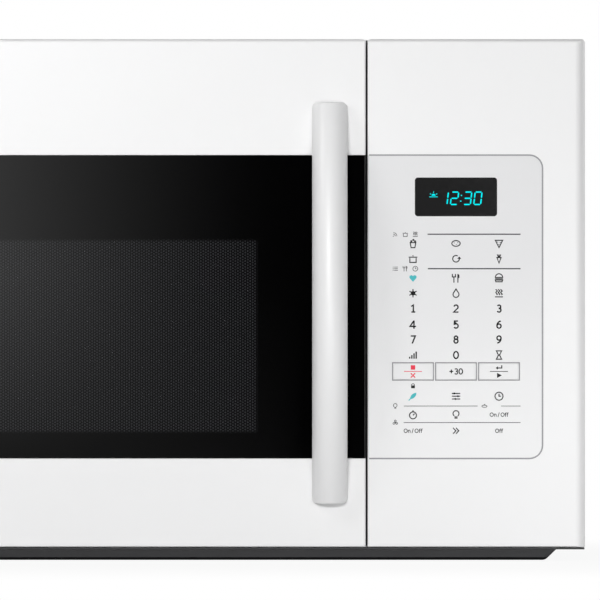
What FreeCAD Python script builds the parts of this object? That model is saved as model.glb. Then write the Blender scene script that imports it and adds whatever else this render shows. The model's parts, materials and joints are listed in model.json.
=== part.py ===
import FreeCAD, Part
import math
import os

from FreeCAD import Vector

# Over-the-range microwave oven with a hood underneath, for a range 30 inches wide.
# Millimetres. X runs to the right seen from the front, Y from the front to the wall, Z up.
# The origin is the middle of the object's box, at the height of its flat underside.

# Overall size
WIDTH = 759.0
HEIGHT = 433.0
BODY_DEPTH = 411.0
HANDLE_REACH = 43.0

# Stock and clearances
SHEET = 1.0
MOULDED_WALL = 2.5
FIT = 0.3
RUNNING_FIT = 0.05
PAST = 1.0

# Dark base: a full width plate with a shallow pan pressed down from it
BASE_SHEET = 1.2
BASE_DROP = 9.4
BASE_FRONT_INSET = 2.0
BASE_EDGE_INSET = 0.5
PAN_SIDE_INSET = 23.0
PAN_FRONT_INSET = 30.0
PAN_BACK_INSET = 14.0
PAN_CORNER_ROUND = 6.0
PAN_RIM_ROUND = 6.5
BASE_SCREW_SETBACK = 252.0

# Front faces of the door and the control panel
PANEL_WIDTH = 181.4
DOOR_GAP = 1.6
FACE_CLEARANCE = 1.0
EDGE_ROUND = 8.0
GAP_ROUND = 1.2
TOP_ROUND = 3.0
BOTTOM_ROUND = 1.0
DOOR_DEPTH = 31.0
DOOR_WALL_DEPTH = 24.0
SEAL_GAP = 1.0

# Band of black glass on the door and of keypad film on the panel
BAND_ABOVE = 96.1
BAND_BELOW = 73.2
BAND_END_MARGIN = 34.5
BAND_CORNER = 11.0
GLASS_THICKNESS = 3.2
GLASS_BEVEL = 1.0

# Window screen behind the glass
SCREEN_FROM_DOOR_EDGE = 90.7
SCREEN_BELOW_BAND_TOP = 71.1
SCREEN_ABOVE_BAND_BOTTOM = 22.4
SCREEN_THICKNESS = 0.8
WINDOW_LIP = 6.0
INNER_SHEET_THICKNESS = 1.5
INNER_SHEET_LIP = 18.0

# Door pan, choke cover and back cover
CHOKE_OVERLAP = 16.0
CHOKE_COVER_THICKNESS = 3.0
CHOKE_WALL = 1.5
BACK_COVER_THICKNESS = 2.5

# Bowed door handle
HANDLE_WIDTH = 29.3
HANDLE_FROM_DOOR_EDGE = 29.8
HANDLE_BELOW_TOP = 52.3
HANDLE_ABOVE_BOTTOM = 35.5
HANDLE_END_HEIGHT = 13.0
HANDLE_THICKNESS = 15.0
HANDLE_FOOT = 38.0
HANDLE_CROWN = 12.0
HANDLE_CORNER = 4.5
HANDLE_END_BOW = 0.8
HANDLE_EDGE_ROUND = 1.5
HANDLE_SCREW_FROM_END = 18.0
HANDLE_SCREW_DEPTH = 9.0

# Hinges on the left
HINGE_FROM_SIDE = 12.0
HINGE_FROM_FRONT = 11.0
HINGE_PIN_RADIUS = 3.0
HINGE_PIN_LENGTH = 14.0
HINGE_LEAF_THICKNESS = 3.0
HINGE_LEAF_WIDTH = 8.4
HINGE_LEAF_INSET = 1.7
HINGE_FLANGE_THICKNESS = 2.0
HINGE_FLANGE_WIDTH = 25.0
HINGE_FLANGE_HEIGHT = 30.0
HINGE_POCKET_WIDTH = 30.0
HINGE_POCKET_LIP = 3.0
HINGE_BOSS_RADIUS = 7.0

# Latch lever in the door and its body behind the front plate
LATCH_FROM_DOOR_EDGE = 8.1
LATCH_THICKNESS = 4.0
LATCH_DEPTH = 10.0
LATCH_LENGTH = 220.0
LATCH_HOOK_HEIGHT = 10.0
LATCH_HOOK_LIP = 3.0
LATCH_HOOK_REACH = 13.0
LATCH_FROM_LEVER_END = 14.0
LATCH_TRAVEL = 4.0
LATCH_BODY_WIDTH = 24.0
LATCH_BODY_DEPTH = 30.0
LATCH_BODY_MARGIN = 14.0
SWITCH_SIZE = (6.4, 16.0, 28.0)
SWITCH_COUNT = 3

# Oven cavity
CAVITY_FROM_SIDE = 35.0
CAVITY_FROM_DOOR_EDGE = 29.8
CAVITY_FLOOR = 62.0
HEAD_SPACE = 112.0
CAVITY_BACK_SPACE = 16.0
AIR_HOLE_RADIUS = 2.2
AIR_HOLE_PITCH = 9.0
AIR_HOLE_ROWS = 4
AIR_HOLE_COLUMNS = 6

# Turntable
TRAY_WALL_MARGIN = 12.5
TRAY_THICKNESS = 5.0
TRAY_RIM_WIDTH = 14.0
TRAY_RIM_RISE = 8.0
RING_RADIUS = 112.0
RING_WIDTH = 8.0
RING_THICKNESS = 4.0
WHEEL_RADIUS = 7.0
WHEEL_WIDTH = 7.0
WHEEL_COUNT = 3
AXLE_RADIUS = 1.5
ROLLING_GAP = 0.2
COUPLER_STEM_RADIUS = 4.0
COUPLER_HUB_RADIUS = 9.0
COUPLER_WING_LENGTH = 16.0
COUPLER_WING_WIDTH = 6.0
DRIVE_HOLE_RADIUS = 6.0
DRIVE_MOTOR_RADIUS = 25.0
DRIVE_MOTOR_HEIGHT = 15.0
DRIVE_BORE_DEPTH = 10.0

# Microwave source beside the cavity
COMPARTMENT_FLOOR = 35.0
WAVE_PORT_WIDTH = 90.0
WAVE_PORT_HEIGHT = 56.0
WAVE_PORT_FROM_REAR = 150.0
WAVE_PORT_ABOVE_FLOOR = 140.0
WAVE_COVER_LIP = 8.0
WAVE_COVER_THICKNESS = 0.6
WAVEGUIDE_DEPTH = 36.0
MAGNETRON_SIZE = (70.0, 74.0, 62.0)
MAGNETRON_FIN_COUNT = 7
MAGNETRON_FIN_THICKNESS = 1.0
MAGNETRON_PLATE = 2.0
ANTENNA_RADIUS = 8.0
ANTENNA_LENGTH = 22.0
TRANSFORMER_CORE = (86.0, 60.0, 72.0)
TRANSFORMER_COIL = 12.0
TRANSFORMER_FROM_FRONT = 100.0
CAPACITOR_SIZE = (52.0, 34.0, 80.0)
CAPACITOR_TERMINAL_RADIUS = 3.0
CAPACITOR_TERMINAL_HEIGHT = 8.0
COMPONENT_FROM_SIDE = 45.0

# Cooling fan at the back of the component space
COOLING_RADIUS = 52.0
COOLING_TIP_GAP = 3.0
COOLING_HUB_RADIUS = 13.0
COOLING_HUB_LENGTH = 16.0
COOLING_BLADES = 5
COOLING_BLADE_PITCH = 32.0
COOLING_BLADE_CHORD = 24.0
COOLING_BLADE_THICKNESS = 1.6
COOLING_SHAFT_RADIUS = 2.5
COOLING_MOTOR_SIZE = 46.0
COOLING_MOTOR_LENGTH = 26.0
COOLING_FROM_REAR = 62.0
COOLING_ABOVE_FLOOR = 125.0
COOLING_SHROUD_MARGIN = 10.0
COOLING_STRUT = 6.0

# Vent blower above the cavity
BLOWER_WHEEL_RADIUS = 40.0
BLOWER_WHEEL_WIDTH = 62.0
BLOWER_BLADES = 24
BLOWER_BLADE_DEPTH = 9.0
BLOWER_BLADE_THICKNESS = 1.2
BLOWER_HUB_DISC = 2.0
BLOWER_SHAFT_RADIUS = 4.0
BLOWER_SCROLL_RADIUS = 46.0
BLOWER_SCROLL_WALL = 1.5
BLOWER_SIDE_GAP = 4.0
BLOWER_INLET_RADIUS = 31.0
BLOWER_OUTLET_LENGTH = 84.0
BLOWER_MOTOR_RADIUS = 34.0
BLOWER_MOTOR_LENGTH = 84.0
BLOWER_MOTOR_SPACE = 6.0
BLOWER_FROM_REAR = 74.0

# Grille and filter in the top, cord bushing and cabinet bolts
GRILLE_END_MARGIN = 60.0
GRILLE_SETBACK = 14.0
GRILLE_DEPTH = 40.0
GRILLE_THICKNESS = 3.0
GRILLE_FLANGE = 6.0
GRILLE_SLOT_WIDTH = 9.0
GRILLE_BAR_WIDTH = 5.0
GRILLE_RAIL = 5.0
CHARCOAL_WIDTH = 300.0
CHARCOAL_HEIGHT = 14.0
CORD_BORE_RADIUS = 5.0
CORD_BUSH_RADIUS = 9.0
CORD_BUSH_FLANGE = 13.0
CORD_BUSH_LENGTH = 8.0
CORD_FROM_SIDE = 62.0
CORD_FROM_BACK = 48.0
CABINET_BOLT_RADIUS = 3.5
CABINET_BOLT_SPACING = 610.0
CABINET_BOLT_SETBACK = 84.0
CABINET_BRACKET = (70.0, 36.0, 2.5)

# Wall plate
WALL_PLATE_THICKNESS = 2.0
WALL_PLATE_SIDE_MARGIN = 60.0
WALL_PLATE_BOTTOM = 70.0
WALL_PLATE_TOP_MARGIN = 45.0
WALL_PLATE_RAIL = 60.0
WALL_BOLT_SPACING = 406.4
WALL_BOLT_RADIUS = 3.5
HOOK_WIDTH = 40.0
HOOK_SPACING = 480.0
HOOK_REACH = 9.0
HOOK_RISE = 12.0

# Control panel
FILM_THICKNESS = 0.4
DISPLAY_WIDTH = 68.3
DISPLAY_HEIGHT = 32.2
DISPLAY_CORNER = 2.5
DISPLAY_BELOW_BAND_TOP = 18.7
KEYPAD_FROM_GAP = 73.4
KEY_WIDTH = 33.4
KEY_HEIGHT = 14.0
KEY_PITCH = 35.7
KEY_ABOVE_BAND_BOTTOM = 72.4
KEY_CORNER = 0.8
KEY_FLANGE = 1.0
KEY_TRAVEL = 0.5
LENS_FLANGE = 2.0
FLANGE_THICKNESS = 1.0
BOARD_BEHIND_FACE = 9.0
BOARD_THICKNESS = 1.6
BOARD_MARGIN = 10.0
BOARD_POST_RADIUS = 3.5
BOARD_PART_HEIGHT = 14.0
RELAY_SIZE = 20.0
POWER_BLOCK_SIZE = 40.0
BUZZER_RADIUS = 10.0
TACT_SWITCH = 6.0

# Underside: grease filters and the cooktop lamp
FILTER_WIDTH = 293.0
FILTER_DEPTH = 153.0
FILTER_THICKNESS = 7.5
FILTER_RIM = 7.0
FILTER_RECESS = 1.5
FILTER_LIFT = 0.6
FILTER_SPACING = 345.0
FILTER_FROM_BACK = 36.0
FILTER_GUIDE = 1.2
FILTER_TAB_WIDTH = 14.0
FILTER_TAB_REACH = 5.0
LAMP_WIDTH = 132.0
LAMP_DEPTH = 66.0
LAMP_THICKNESS = 3.0
LAMP_FROM_FRONT = 12.0
LAMP_EAR = 3.0
LAMP_PIN_RADIUS = 1.0
LAMP_PIN_LENGTH = 4.0
BULB_RADIUS = 11.0
BULB_LENGTH = 34.0
SOCKET_RADIUS = 13.0
SOCKET_LENGTH = 20.0
OVEN_LAMP_RADIUS = 10.0
OVEN_LAMP_LENGTH = 26.0

# Screws
SCREW_RADIUS = 1.8
SCREW_HOLE_PLAY = 0.1
SCREW_LENGTH = 6.0
SCREW_HEAD_RADIUS = 3.6
SCREW_HEAD_HEIGHT = 1.8
SCREW_CROSS_WIDTH = 1.0
SCREW_CROSS_DEPTH = 1.0
FLANGE = 13.0
CASE_BEND = 3.0
SCREWS_PER_SIDE = 3
SCREW_END_MARGIN = 30.0

# Places worked out from the sizes above
LEFT = -WIDTH / 2
RIGHT = WIDTH / 2
FRONT = HANDLE_REACH - (BODY_DEPTH + HANDLE_REACH) / 2
BACK = FRONT + BODY_DEPTH
BASE_TOP = BASE_DROP + BASE_SHEET
FACE_BOTTOM = BASE_TOP + FACE_CLEARANCE
FACE_TOP = HEIGHT
PANEL_LEFT = RIGHT - PANEL_WIDTH + DOOR_GAP / 2
DOOR_RIGHT = PANEL_LEFT - DOOR_GAP
PLATE_FRONT = FRONT + DOOR_DEPTH + SEAL_GAP
PLATE_BACK = PLATE_FRONT + SHEET
BAND_BOTTOM = FACE_BOTTOM + BAND_BELOW
BAND_TOP = FACE_TOP - BAND_ABOVE
GLASS_LEFT = LEFT + BAND_END_MARGIN
FILM_RIGHT = RIGHT - BAND_END_MARGIN
SCREEN_X = (LEFT + SCREEN_FROM_DOOR_EDGE, DOOR_RIGHT - SCREEN_FROM_DOOR_EDGE)
SCREEN_Z = (BAND_BOTTOM + SCREEN_ABOVE_BAND_BOTTOM, BAND_TOP - SCREEN_BELOW_BAND_TOP)
REAR_PANEL_FRONT = BACK - WALL_PLATE_THICKNESS - SHEET
FLANGE_MIDDLES = (LEFT + SHEET + FLANGE / 2, RIGHT - SHEET - FLANGE / 2)
CAVITY_X = (LEFT + CAVITY_FROM_SIDE, DOOR_RIGHT - CAVITY_FROM_DOOR_EDGE)
CAVITY_Y = (PLATE_BACK, REAR_PANEL_FRONT - CAVITY_BACK_SPACE - SHEET)
CAVITY_Z = (CAVITY_FLOOR, HEIGHT - HEAD_SPACE)
CAVITY_WIDTH = CAVITY_X[1] - CAVITY_X[0]
CAVITY_DEPTH = CAVITY_Y[1] - CAVITY_Y[0]
LINER_TOP = CAVITY_Z[1] + SHEET
LINER_RIGHT = CAVITY_X[1] + SHEET
DOOR_PAN_FRONT = FRONT + GLASS_THICKNESS + MOULDED_WALL
DOOR_PAN_BACK = FRONT + DOOR_DEPTH - CHOKE_COVER_THICKNESS
DOOR_PAN_X = (CAVITY_X[0] - CHOKE_OVERLAP, CAVITY_X[1] + CHOKE_OVERLAP)
DOOR_PAN_Z = (CAVITY_Z[0] - CHOKE_OVERLAP, CAVITY_Z[1] + CHOKE_OVERLAP)
DOOR_WALL_BACK = FRONT + DOOR_WALL_DEPTH
HANDLE_X = DOOR_RIGHT - HANDLE_FROM_DOOR_EDGE
HANDLE_Z = (FACE_BOTTOM + HANDLE_ABOVE_BOTTOM, FACE_TOP - HANDLE_BELOW_TOP)
HANDLE_MID = sum(HANDLE_Z) / 2
HANDLE_HALF = (HANDLE_Z[1] - HANDLE_Z[0]) / 2
HANDLE_SCREW_Z = (HANDLE_Z[0] + HANDLE_SCREW_FROM_END, HANDLE_Z[1] - HANDLE_SCREW_FROM_END)
HINGE_X = LEFT + HINGE_FROM_SIDE
HINGE_Y = FRONT + HINGE_FROM_FRONT
HINGE_POCKET_DEPTH = HINGE_LEAF_INSET + HINGE_LEAF_THICKNESS + FIT
DOOR_EDGES = ((FACE_TOP, -1), (FACE_BOTTOM, 1))
LATCH_X = DOOR_RIGHT - LATCH_FROM_DOOR_EDGE
LATCH_MID = (CAVITY_Z[0] + CAVITY_Z[1]) / 2
LATCH_FRONT = DOOR_WALL_BACK - BACK_COVER_THICKNESS - LATCH_DEPTH - FIT
HOOK_BOTTOMS = (
    LATCH_MID - LATCH_LENGTH / 2 + LATCH_FROM_LEVER_END,
    LATCH_MID + LATCH_LENGTH / 2 - LATCH_FROM_LEVER_END - LATCH_HOOK_HEIGHT,
)
TRAY_X = (CAVITY_X[0] + CAVITY_X[1]) / 2
TRAY_Y = (CAVITY_Y[0] + CAVITY_Y[1]) / 2
TRAY_RADIUS = min(CAVITY_WIDTH, CAVITY_DEPTH) / 2 - TRAY_WALL_MARGIN
TRAY_BOTTOM = CAVITY_FLOOR + 2 * (WHEEL_RADIUS + ROLLING_GAP)
AXLE_HEIGHT = CAVITY_FLOOR + ROLLING_GAP + WHEEL_RADIUS
WHEEL_START = RING_RADIUS + FIT
COMPARTMENT_X = (LINER_RIGHT, RIGHT - SHEET)
COMPARTMENT_TOP = COMPARTMENT_FLOOR + SHEET
COMPONENT_X = RIGHT - COMPONENT_FROM_SIDE
WAVE_PORT_BACK = CAVITY_Y[1] - WAVE_PORT_FROM_REAR
WAVE_PORT_BOTTOM = CAVITY_FLOOR + WAVE_PORT_ABOVE_FLOOR
WAVE_PORT_Y = (WAVE_PORT_BACK - WAVE_PORT_WIDTH, WAVE_PORT_BACK)
WAVE_PORT_Z = (WAVE_PORT_BOTTOM, WAVE_PORT_BOTTOM + WAVE_PORT_HEIGHT)
WAVEGUIDE_RIGHT = LINER_RIGHT + WAVEGUIDE_DEPTH
COOLING_X = (COMPARTMENT_X[0] + COMPARTMENT_X[1]) / 2
COOLING_Z = COMPARTMENT_TOP + COOLING_ABOVE_FLOOR
SHROUD_FRONT = REAR_PANEL_FRONT - COOLING_FROM_REAR
COOLING_HUB_BACK = SHROUD_FRONT + SHEET + COOLING_HUB_LENGTH / 2
BLOWER_Y = REAR_PANEL_FRONT - BLOWER_FROM_REAR
BLOWER_Z = LINER_TOP + BLOWER_SCROLL_RADIUS
BLOWER_WHEEL_START = BLOWER_MOTOR_LENGTH / 2 + BLOWER_MOTOR_SPACE + BLOWER_SCROLL_WALL + BLOWER_SIDE_GAP
GRILLE_X = (LEFT + GRILLE_END_MARGIN, RIGHT - GRILLE_END_MARGIN)
GRILLE_Y = (PLATE_BACK + GRILLE_SETBACK, PLATE_BACK + GRILLE_SETBACK + GRILLE_DEPTH)
CORD_X = RIGHT - CORD_FROM_SIDE
CORD_Y = BACK - CORD_FROM_BACK
CABINET_BOLT_Y = PLATE_BACK + CABINET_BOLT_SETBACK
WALL_PLATE_X = (LEFT + WALL_PLATE_SIDE_MARGIN, RIGHT - WALL_PLATE_SIDE_MARGIN)
WALL_PLATE_Z = (WALL_PLATE_BOTTOM, HEIGHT - WALL_PLATE_TOP_MARGIN)
WALL_BOLT_Z = (WALL_PLATE_Z[0] + WALL_PLATE_RAIL / 2, WALL_PLATE_Z[1] - WALL_PLATE_RAIL / 2)
KEYPAD_X = PANEL_LEFT + KEYPAD_FROM_GAP
KEY_Z = BAND_BOTTOM + KEY_ABOVE_BAND_BOTTOM
DISPLAY_X = (KEYPAD_X - DISPLAY_WIDTH / 2, KEYPAD_X + DISPLAY_WIDTH / 2)
DISPLAY_Z = (BAND_TOP - DISPLAY_BELOW_BAND_TOP - DISPLAY_HEIGHT, BAND_TOP - DISPLAY_BELOW_BAND_TOP)
PANEL_INSIDE = FRONT + MOULDED_WALL
BOARD_FRONT = FRONT + BOARD_BEHIND_FACE
BOARD_X = (PANEL_LEFT + GAP_ROUND + BOARD_MARGIN, FILM_RIGHT - BOARD_MARGIN)
BOARD_Z = (BAND_BOTTOM + BOARD_MARGIN, BAND_TOP - BOARD_MARGIN)
PAN_X = (LEFT + PAN_SIDE_INSET, RIGHT - PAN_SIDE_INSET)
PAN_Y = (FRONT + PAN_FRONT_INSET, BACK - PAN_BACK_INSET)
PAN_FLOOR_Y = (PAN_Y[0] + BASE_DROP, PAN_Y[1] - BASE_DROP)
FILTER_Y = (PAN_FLOOR_Y[1] - FILTER_FROM_BACK - FILTER_DEPTH, PAN_FLOOR_Y[1] - FILTER_FROM_BACK)
FILTER_TOP = FILTER_LIFT + FILTER_THICKNESS
LAMP_Y = (PAN_FLOOR_Y[0] + LAMP_FROM_FRONT, PAN_FLOOR_Y[0] + LAMP_FROM_FRONT + LAMP_DEPTH)
LAMP_BOTTOM = FILTER_LIFT
LAMP_AXIS_Y = LAMP_Y[1] - LAMP_THICKNESS / 2
LAMP_AXIS_Z = LAMP_BOTTOM + LAMP_THICKNESS / 2
TOUCH = 0.001


# Small tools


def block(x, y, z):
    """Box between the two values given for each axis."""
    return Part.makeBox(x[1] - x[0], y[1] - y[0], z[1] - z[0], Vector(x[0], y[0], z[0]))


def grown(span, amount):
    """A span made longer at both ends."""
    return (span[0] - amount, span[1] + amount)


def around(middle, length):
    """The span of a length about its middle."""
    return (middle - length / 2, middle + length / 2)


def rod_x(radius, x, y, z):
    """Round bar along X between the two values of x."""
    return Part.makeCylinder(radius, x[1] - x[0], Vector(x[0], y, z), Vector(1, 0, 0))


def rod_y(radius, x, y, z):
    """Round bar along Y between the two values of y."""
    return Part.makeCylinder(radius, y[1] - y[0], Vector(x, y[0], z), Vector(0, 1, 0))


def rod_z(radius, x, y, z):
    """Round bar along Z between the two values of z."""
    return Part.makeCylinder(radius, z[1] - z[0], Vector(x, y, z[0]), Vector(0, 0, 1))


def edges_where(shape, keep):
    """The edges whose middle point passes a test."""
    return [edge for edge in shape.Edges if keep(edge.CenterOfMass)]


def rounded_slab(x, y, z, left=0.0, right=0.0):
    """Upright slab with its two left and its two right corners rounded in the front view."""
    slab = block(x, y, z)
    middle = sum(y) / 2
    for side, radius in ((x[0], left), (x[1], right)):
        if radius > 0:
            corner = edges_where(slab, lambda p: abs(p.x - side) < TOUCH and abs(p.y - middle) < TOUCH)
            corner = [edge for edge in corner if abs(edge.tangentAt(edge.FirstParameter).y) > 0.5]
            slab = slab.makeFillet(radius, corner)
    return slab


def fused(shapes):
    """One solid from shapes that touch."""
    return shapes[0].multiFuse(shapes[1:]).removeSplitter()


def cut(shape, *tools):
    """The shape with every tool taken out of it."""
    return shape.cut(list(tools))


def screw(x, y, z, direction, length=SCREW_LENGTH):
    """Cross-head screw: its head stands on the point and its shank runs along the direction."""
    point = Vector(x, y, z)
    along = Vector(*direction)
    head = Part.makeCylinder(SCREW_HEAD_RADIUS, SCREW_HEAD_HEIGHT, point, along * -1)
    shank = Part.makeCylinder(SCREW_RADIUS, length, point, along)
    top = point - along * SCREW_HEAD_HEIGHT
    slots = []
    for across in (Vector(along.y, along.z, along.x), Vector(along.z, along.x, along.y)):
        side = along.cross(across)
        corner = top - across * SCREW_HEAD_RADIUS / 2 - side * SCREW_CROSS_WIDTH / 2
        edges = (across * SCREW_HEAD_RADIUS, side * SCREW_CROSS_WIDTH)
        outline = Part.makePolygon(
            [corner, corner + edges[0], corner + edges[0] + edges[1], corner + edges[1], corner]
        )
        slots.append(Part.Face(outline).extrude(along * SCREW_CROSS_DEPTH))
    return cut(head.fuse(shank), *slots)


def screw_hole(x, y, z, direction, length=SCREW_LENGTH):
    """Clearance hole for a screw set on the same point."""
    along = Vector(*direction)
    start = Vector(x, y, z) - along * PAST
    return Part.makeCylinder(SCREW_RADIUS + SCREW_HOLE_PLAY, length + 2 * PAST, start, along)


def spaced(first, last, count):
    """Evenly spaced places from first to last."""
    return [first + (last - first) * i / (count - 1) for i in range(count)]


def rounded_front(x, y, z, left, right):
    """Block whose two upright front edges are rounded."""
    body = block(x, y, z)
    for side, radius in ((x[0], left), (x[1], right)):
        if radius > 0:
            edge = edges_where(body, lambda p: abs(p.x - side) < TOUCH and abs(p.y - y[0]) < TOUCH)
            body = body.makeFillet(radius, edge)
    return body


def front_body(x, depth, left, right):
    """Solid form of a front moulding, rounded at its sides, its top and its bottom."""
    y = (FRONT, FRONT + depth)
    z = (FACE_BOTTOM, FACE_TOP)
    rims = block(x, y, z)
    for level, radius in ((FACE_BOTTOM, BOTTOM_ROUND), (FACE_TOP, TOP_ROUND)):
        edges = edges_where(rims, lambda p: abs(p.z - level) < TOUCH and p.y < y[1] - TOUCH)
        rims = rims.makeFillet(radius, edges)
    return rounded_front(x, y, z, left, right).common(rims)


def front_shell(x, depth, left, right):
    """Front moulding that is hollow and open at the back."""
    hollow = rounded_front(
        grown(x, -MOULDED_WALL),
        (PANEL_INSIDE, FRONT + depth + PAST),
        grown((FACE_BOTTOM, FACE_TOP), -MOULDED_WALL),
        max(left - MOULDED_WALL, 0.0),
        max(right - MOULDED_WALL, 0.0),
    )
    return front_body(x, depth, left, right).cut(hollow)


def case_panel(front):
    """Flat sheet that fills the inside of the outer case at one depth, with its top corners rounded."""
    sheet = block(
        grown((LEFT, RIGHT), -SHEET),
        (front, front + SHEET),
        (BASE_TOP, HEIGHT - SHEET),
    )
    corners = edges_where(
        sheet,
        lambda p: abs(p.z - (HEIGHT - SHEET)) < TOUCH and abs(abs(p.x) - (RIGHT - SHEET)) < TOUCH,
    )
    return sheet.makeFillet(CASE_BEND - SHEET, corners)


# Where the screws go


def rear_screw_places():
    """Rear screws: they hold the rear panel on the flanges at the back of the case."""
    y = REAR_PANEL_FRONT + SHEET
    heights = spaced(BASE_TOP + SCREW_END_MARGIN, HEIGHT - SCREW_END_MARGIN, SCREWS_PER_SIDE)
    return [(x, y, z, (0, -1, 0)) for x in FLANGE_MIDDLES for z in heights]


def base_screw_places():
    """Base screws: they enter the base plate from below beside the rear half of the pan."""
    depths = spaced(FRONT + BASE_SCREW_SETBACK, BACK - SCREW_END_MARGIN, SCREWS_PER_SIDE)
    return [(x, y, BASE_DROP, (0, 0, 1)) for x in FLANGE_MIDDLES for y in depths]


def hinge_screw_places():
    """Hinge screws: they hold both hinge flanges on the front plate."""
    y = PLATE_FRONT - HINGE_FLANGE_THICKNESS
    x = HINGE_X - HINGE_LEAF_WIDTH / 2 + HINGE_FLANGE_WIDTH - SCREW_HEAD_RADIUS - SHEET
    heights = []
    for edge in DOOR_EDGES:
        flange = hinge_flange_span(*edge)
        third = (flange[1] - flange[0]) / 3
        heights += [flange[0] + third, flange[1] - third]
    return [(x, y, z, (0, 1, 0)) for z in heights]


def handle_screw_places():
    """Handle screws: they enter the feet of the handle from inside the door."""
    return [(HANDLE_X, PANEL_INSIDE, z, (0, -1, 0)) for z in HANDLE_SCREW_Z]


def pocket_span(edge, inward, near, far):
    """Heights between two distances in from the door's top or bottom edge."""
    return tuple(sorted((edge + inward * near, edge + inward * far)))


def hinge_flange_span(edge, inward):
    """Lower and upper end of a hinge flange, which stops short of the door pan."""
    room = min(abs(edge - level) for level in DOOR_PAN_Z) - SEAL_GAP
    return pocket_span(edge, inward, HINGE_LEAF_INSET, min(HINGE_FLANGE_HEIGHT, room))


# Case, plates and base


def outer_case():
    """Painted wrap: top and two sides, with flanges for the base and the rear panel."""
    case = block((LEFT, RIGHT), (PLATE_FRONT, BACK), (BASE_TOP, HEIGHT))
    bends = edges_where(case, lambda p: abs(p.z - HEIGHT) < TOUCH and abs(abs(p.x) - RIGHT) < TOUCH)
    case = case.makeFillet(CASE_BEND, bends)
    inside = block(
        grown((LEFT, RIGHT), -SHEET),
        grown((PLATE_FRONT, BACK), PAST),
        (BASE_TOP - PAST, HEIGHT - SHEET),
    )
    bends = edges_where(
        inside, lambda p: abs(p.z - (HEIGHT - SHEET)) < TOUCH and abs(abs(p.x) - (RIGHT - SHEET)) < TOUCH
    )
    case = case.cut(inside.makeFillet(CASE_BEND - SHEET, bends))
    flanges = []
    for middle in FLANGE_MIDDLES:
        x = around(middle, FLANGE)
        rear_y = (REAR_PANEL_FRONT - SHEET, REAR_PANEL_FRONT)
        flanges.append(block(x, (PLATE_BACK, REAR_PANEL_FRONT), (BASE_TOP, BASE_TOP + SHEET)))
        flanges.append(block(x, rear_y, (BASE_TOP, HEIGHT - CASE_BEND)))
    case = fused([case] + flanges)
    top = (HEIGHT - SHEET - PAST, HEIGHT + PAST)
    holes = [screw_hole(*place) for place in rear_screw_places() + base_screw_places()]
    holes += [block(GRILLE_X, GRILLE_Y, top)]
    holes += [rod_z(CORD_BUSH_RADIUS, CORD_X, CORD_Y, top)]
    holes += [rod_z(CABINET_BOLT_RADIUS, x, CABINET_BOLT_Y, top) for x in around(0, CABINET_BOLT_SPACING)]
    return cut(case, *holes)


def cabinet_brackets():
    """Stiffeners under the top that take the bolts from the cabinet above."""
    length, depth, thickness = CABINET_BRACKET
    z = (HEIGHT - SHEET - thickness, HEIGHT - SHEET)
    plates = []
    for x in around(0, CABINET_BOLT_SPACING):
        plate = block(around(x, length), around(CABINET_BOLT_Y, depth), z)
        plates.append(plate.cut(rod_z(CABINET_BOLT_RADIUS, x, CABINET_BOLT_Y, grown(z, PAST))))
    return Part.makeCompound(plates)


def hook_slots(extra):
    """The wall plate's hooks as blocks, each grown by a clearance."""
    z = (WALL_PLATE_Z[0], WALL_PLATE_Z[0] + SHEET * 2)
    y = (BACK - WALL_PLATE_THICKNESS - HOOK_REACH, BACK - WALL_PLATE_THICKNESS)
    return [block(grown(around(x, HOOK_WIDTH), extra), grown(y, extra), grown(z, extra))
            for x in around(0, HOOK_SPACING)]


def rear_panel():
    """Back sheet, slotted for the wall plate's hooks."""
    holes = [screw_hole(*place) for place in rear_screw_places()]
    return cut(case_panel(REAR_PANEL_FRONT), *hook_slots(FIT), *holes)


def wall_plate():
    """Steel frame that is screwed to the wall studs and hooks into the back of the case."""
    y = (BACK - WALL_PLATE_THICKNESS, BACK)
    plate = block(WALL_PLATE_X, y, WALL_PLATE_Z)
    middle = block(
        grown(WALL_PLATE_X, -WALL_PLATE_RAIL), grown(y, PAST), grown(WALL_PLATE_Z, -WALL_PLATE_RAIL)
    )
    plate = plate.cut(middle)
    lips = []
    for x in around(0, HOOK_SPACING):
        reach = BACK - WALL_PLATE_THICKNESS - HOOK_REACH
        lips.append(block(around(x, HOOK_WIDTH), (reach, reach + SHEET * 2),
                          (WALL_PLATE_Z[0], WALL_PLATE_Z[0] + HOOK_RISE)))
    plate = fused([plate] + hook_slots(0.0) + lips)
    bolts = [rod_y(WALL_BOLT_RADIUS, x, grown(y, PAST), z)
             for x in around(0, WALL_BOLT_SPACING) for z in WALL_BOLT_Z]
    return cut(plate, *bolts)


def pan_frustum(inset, z_low, z_high):
    """Solid with 45 degree sides whose outline, at the plate's underside, is the pan's less an inset."""
    wires = []
    for z in (z_low, z_high):
        step = inset + BASE_DROP - z
        x = grown(PAN_X, -step)
        y = grown(PAN_Y, -step)
        front = [Vector(x[0], y[0], z), Vector(x[1], y[0], z)]
        back = [Vector(x[1], y[1], z), Vector(x[0], y[1], z)]
        wires.append(Part.makePolygon(front + back + front[:1]))
    return Part.makeLoft(wires, True, True)


def filter_places():
    """Left-to-right spans of the two grease filters."""
    return [around(x, FILTER_WIDTH) for x in around(0, FILTER_SPACING)]


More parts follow.
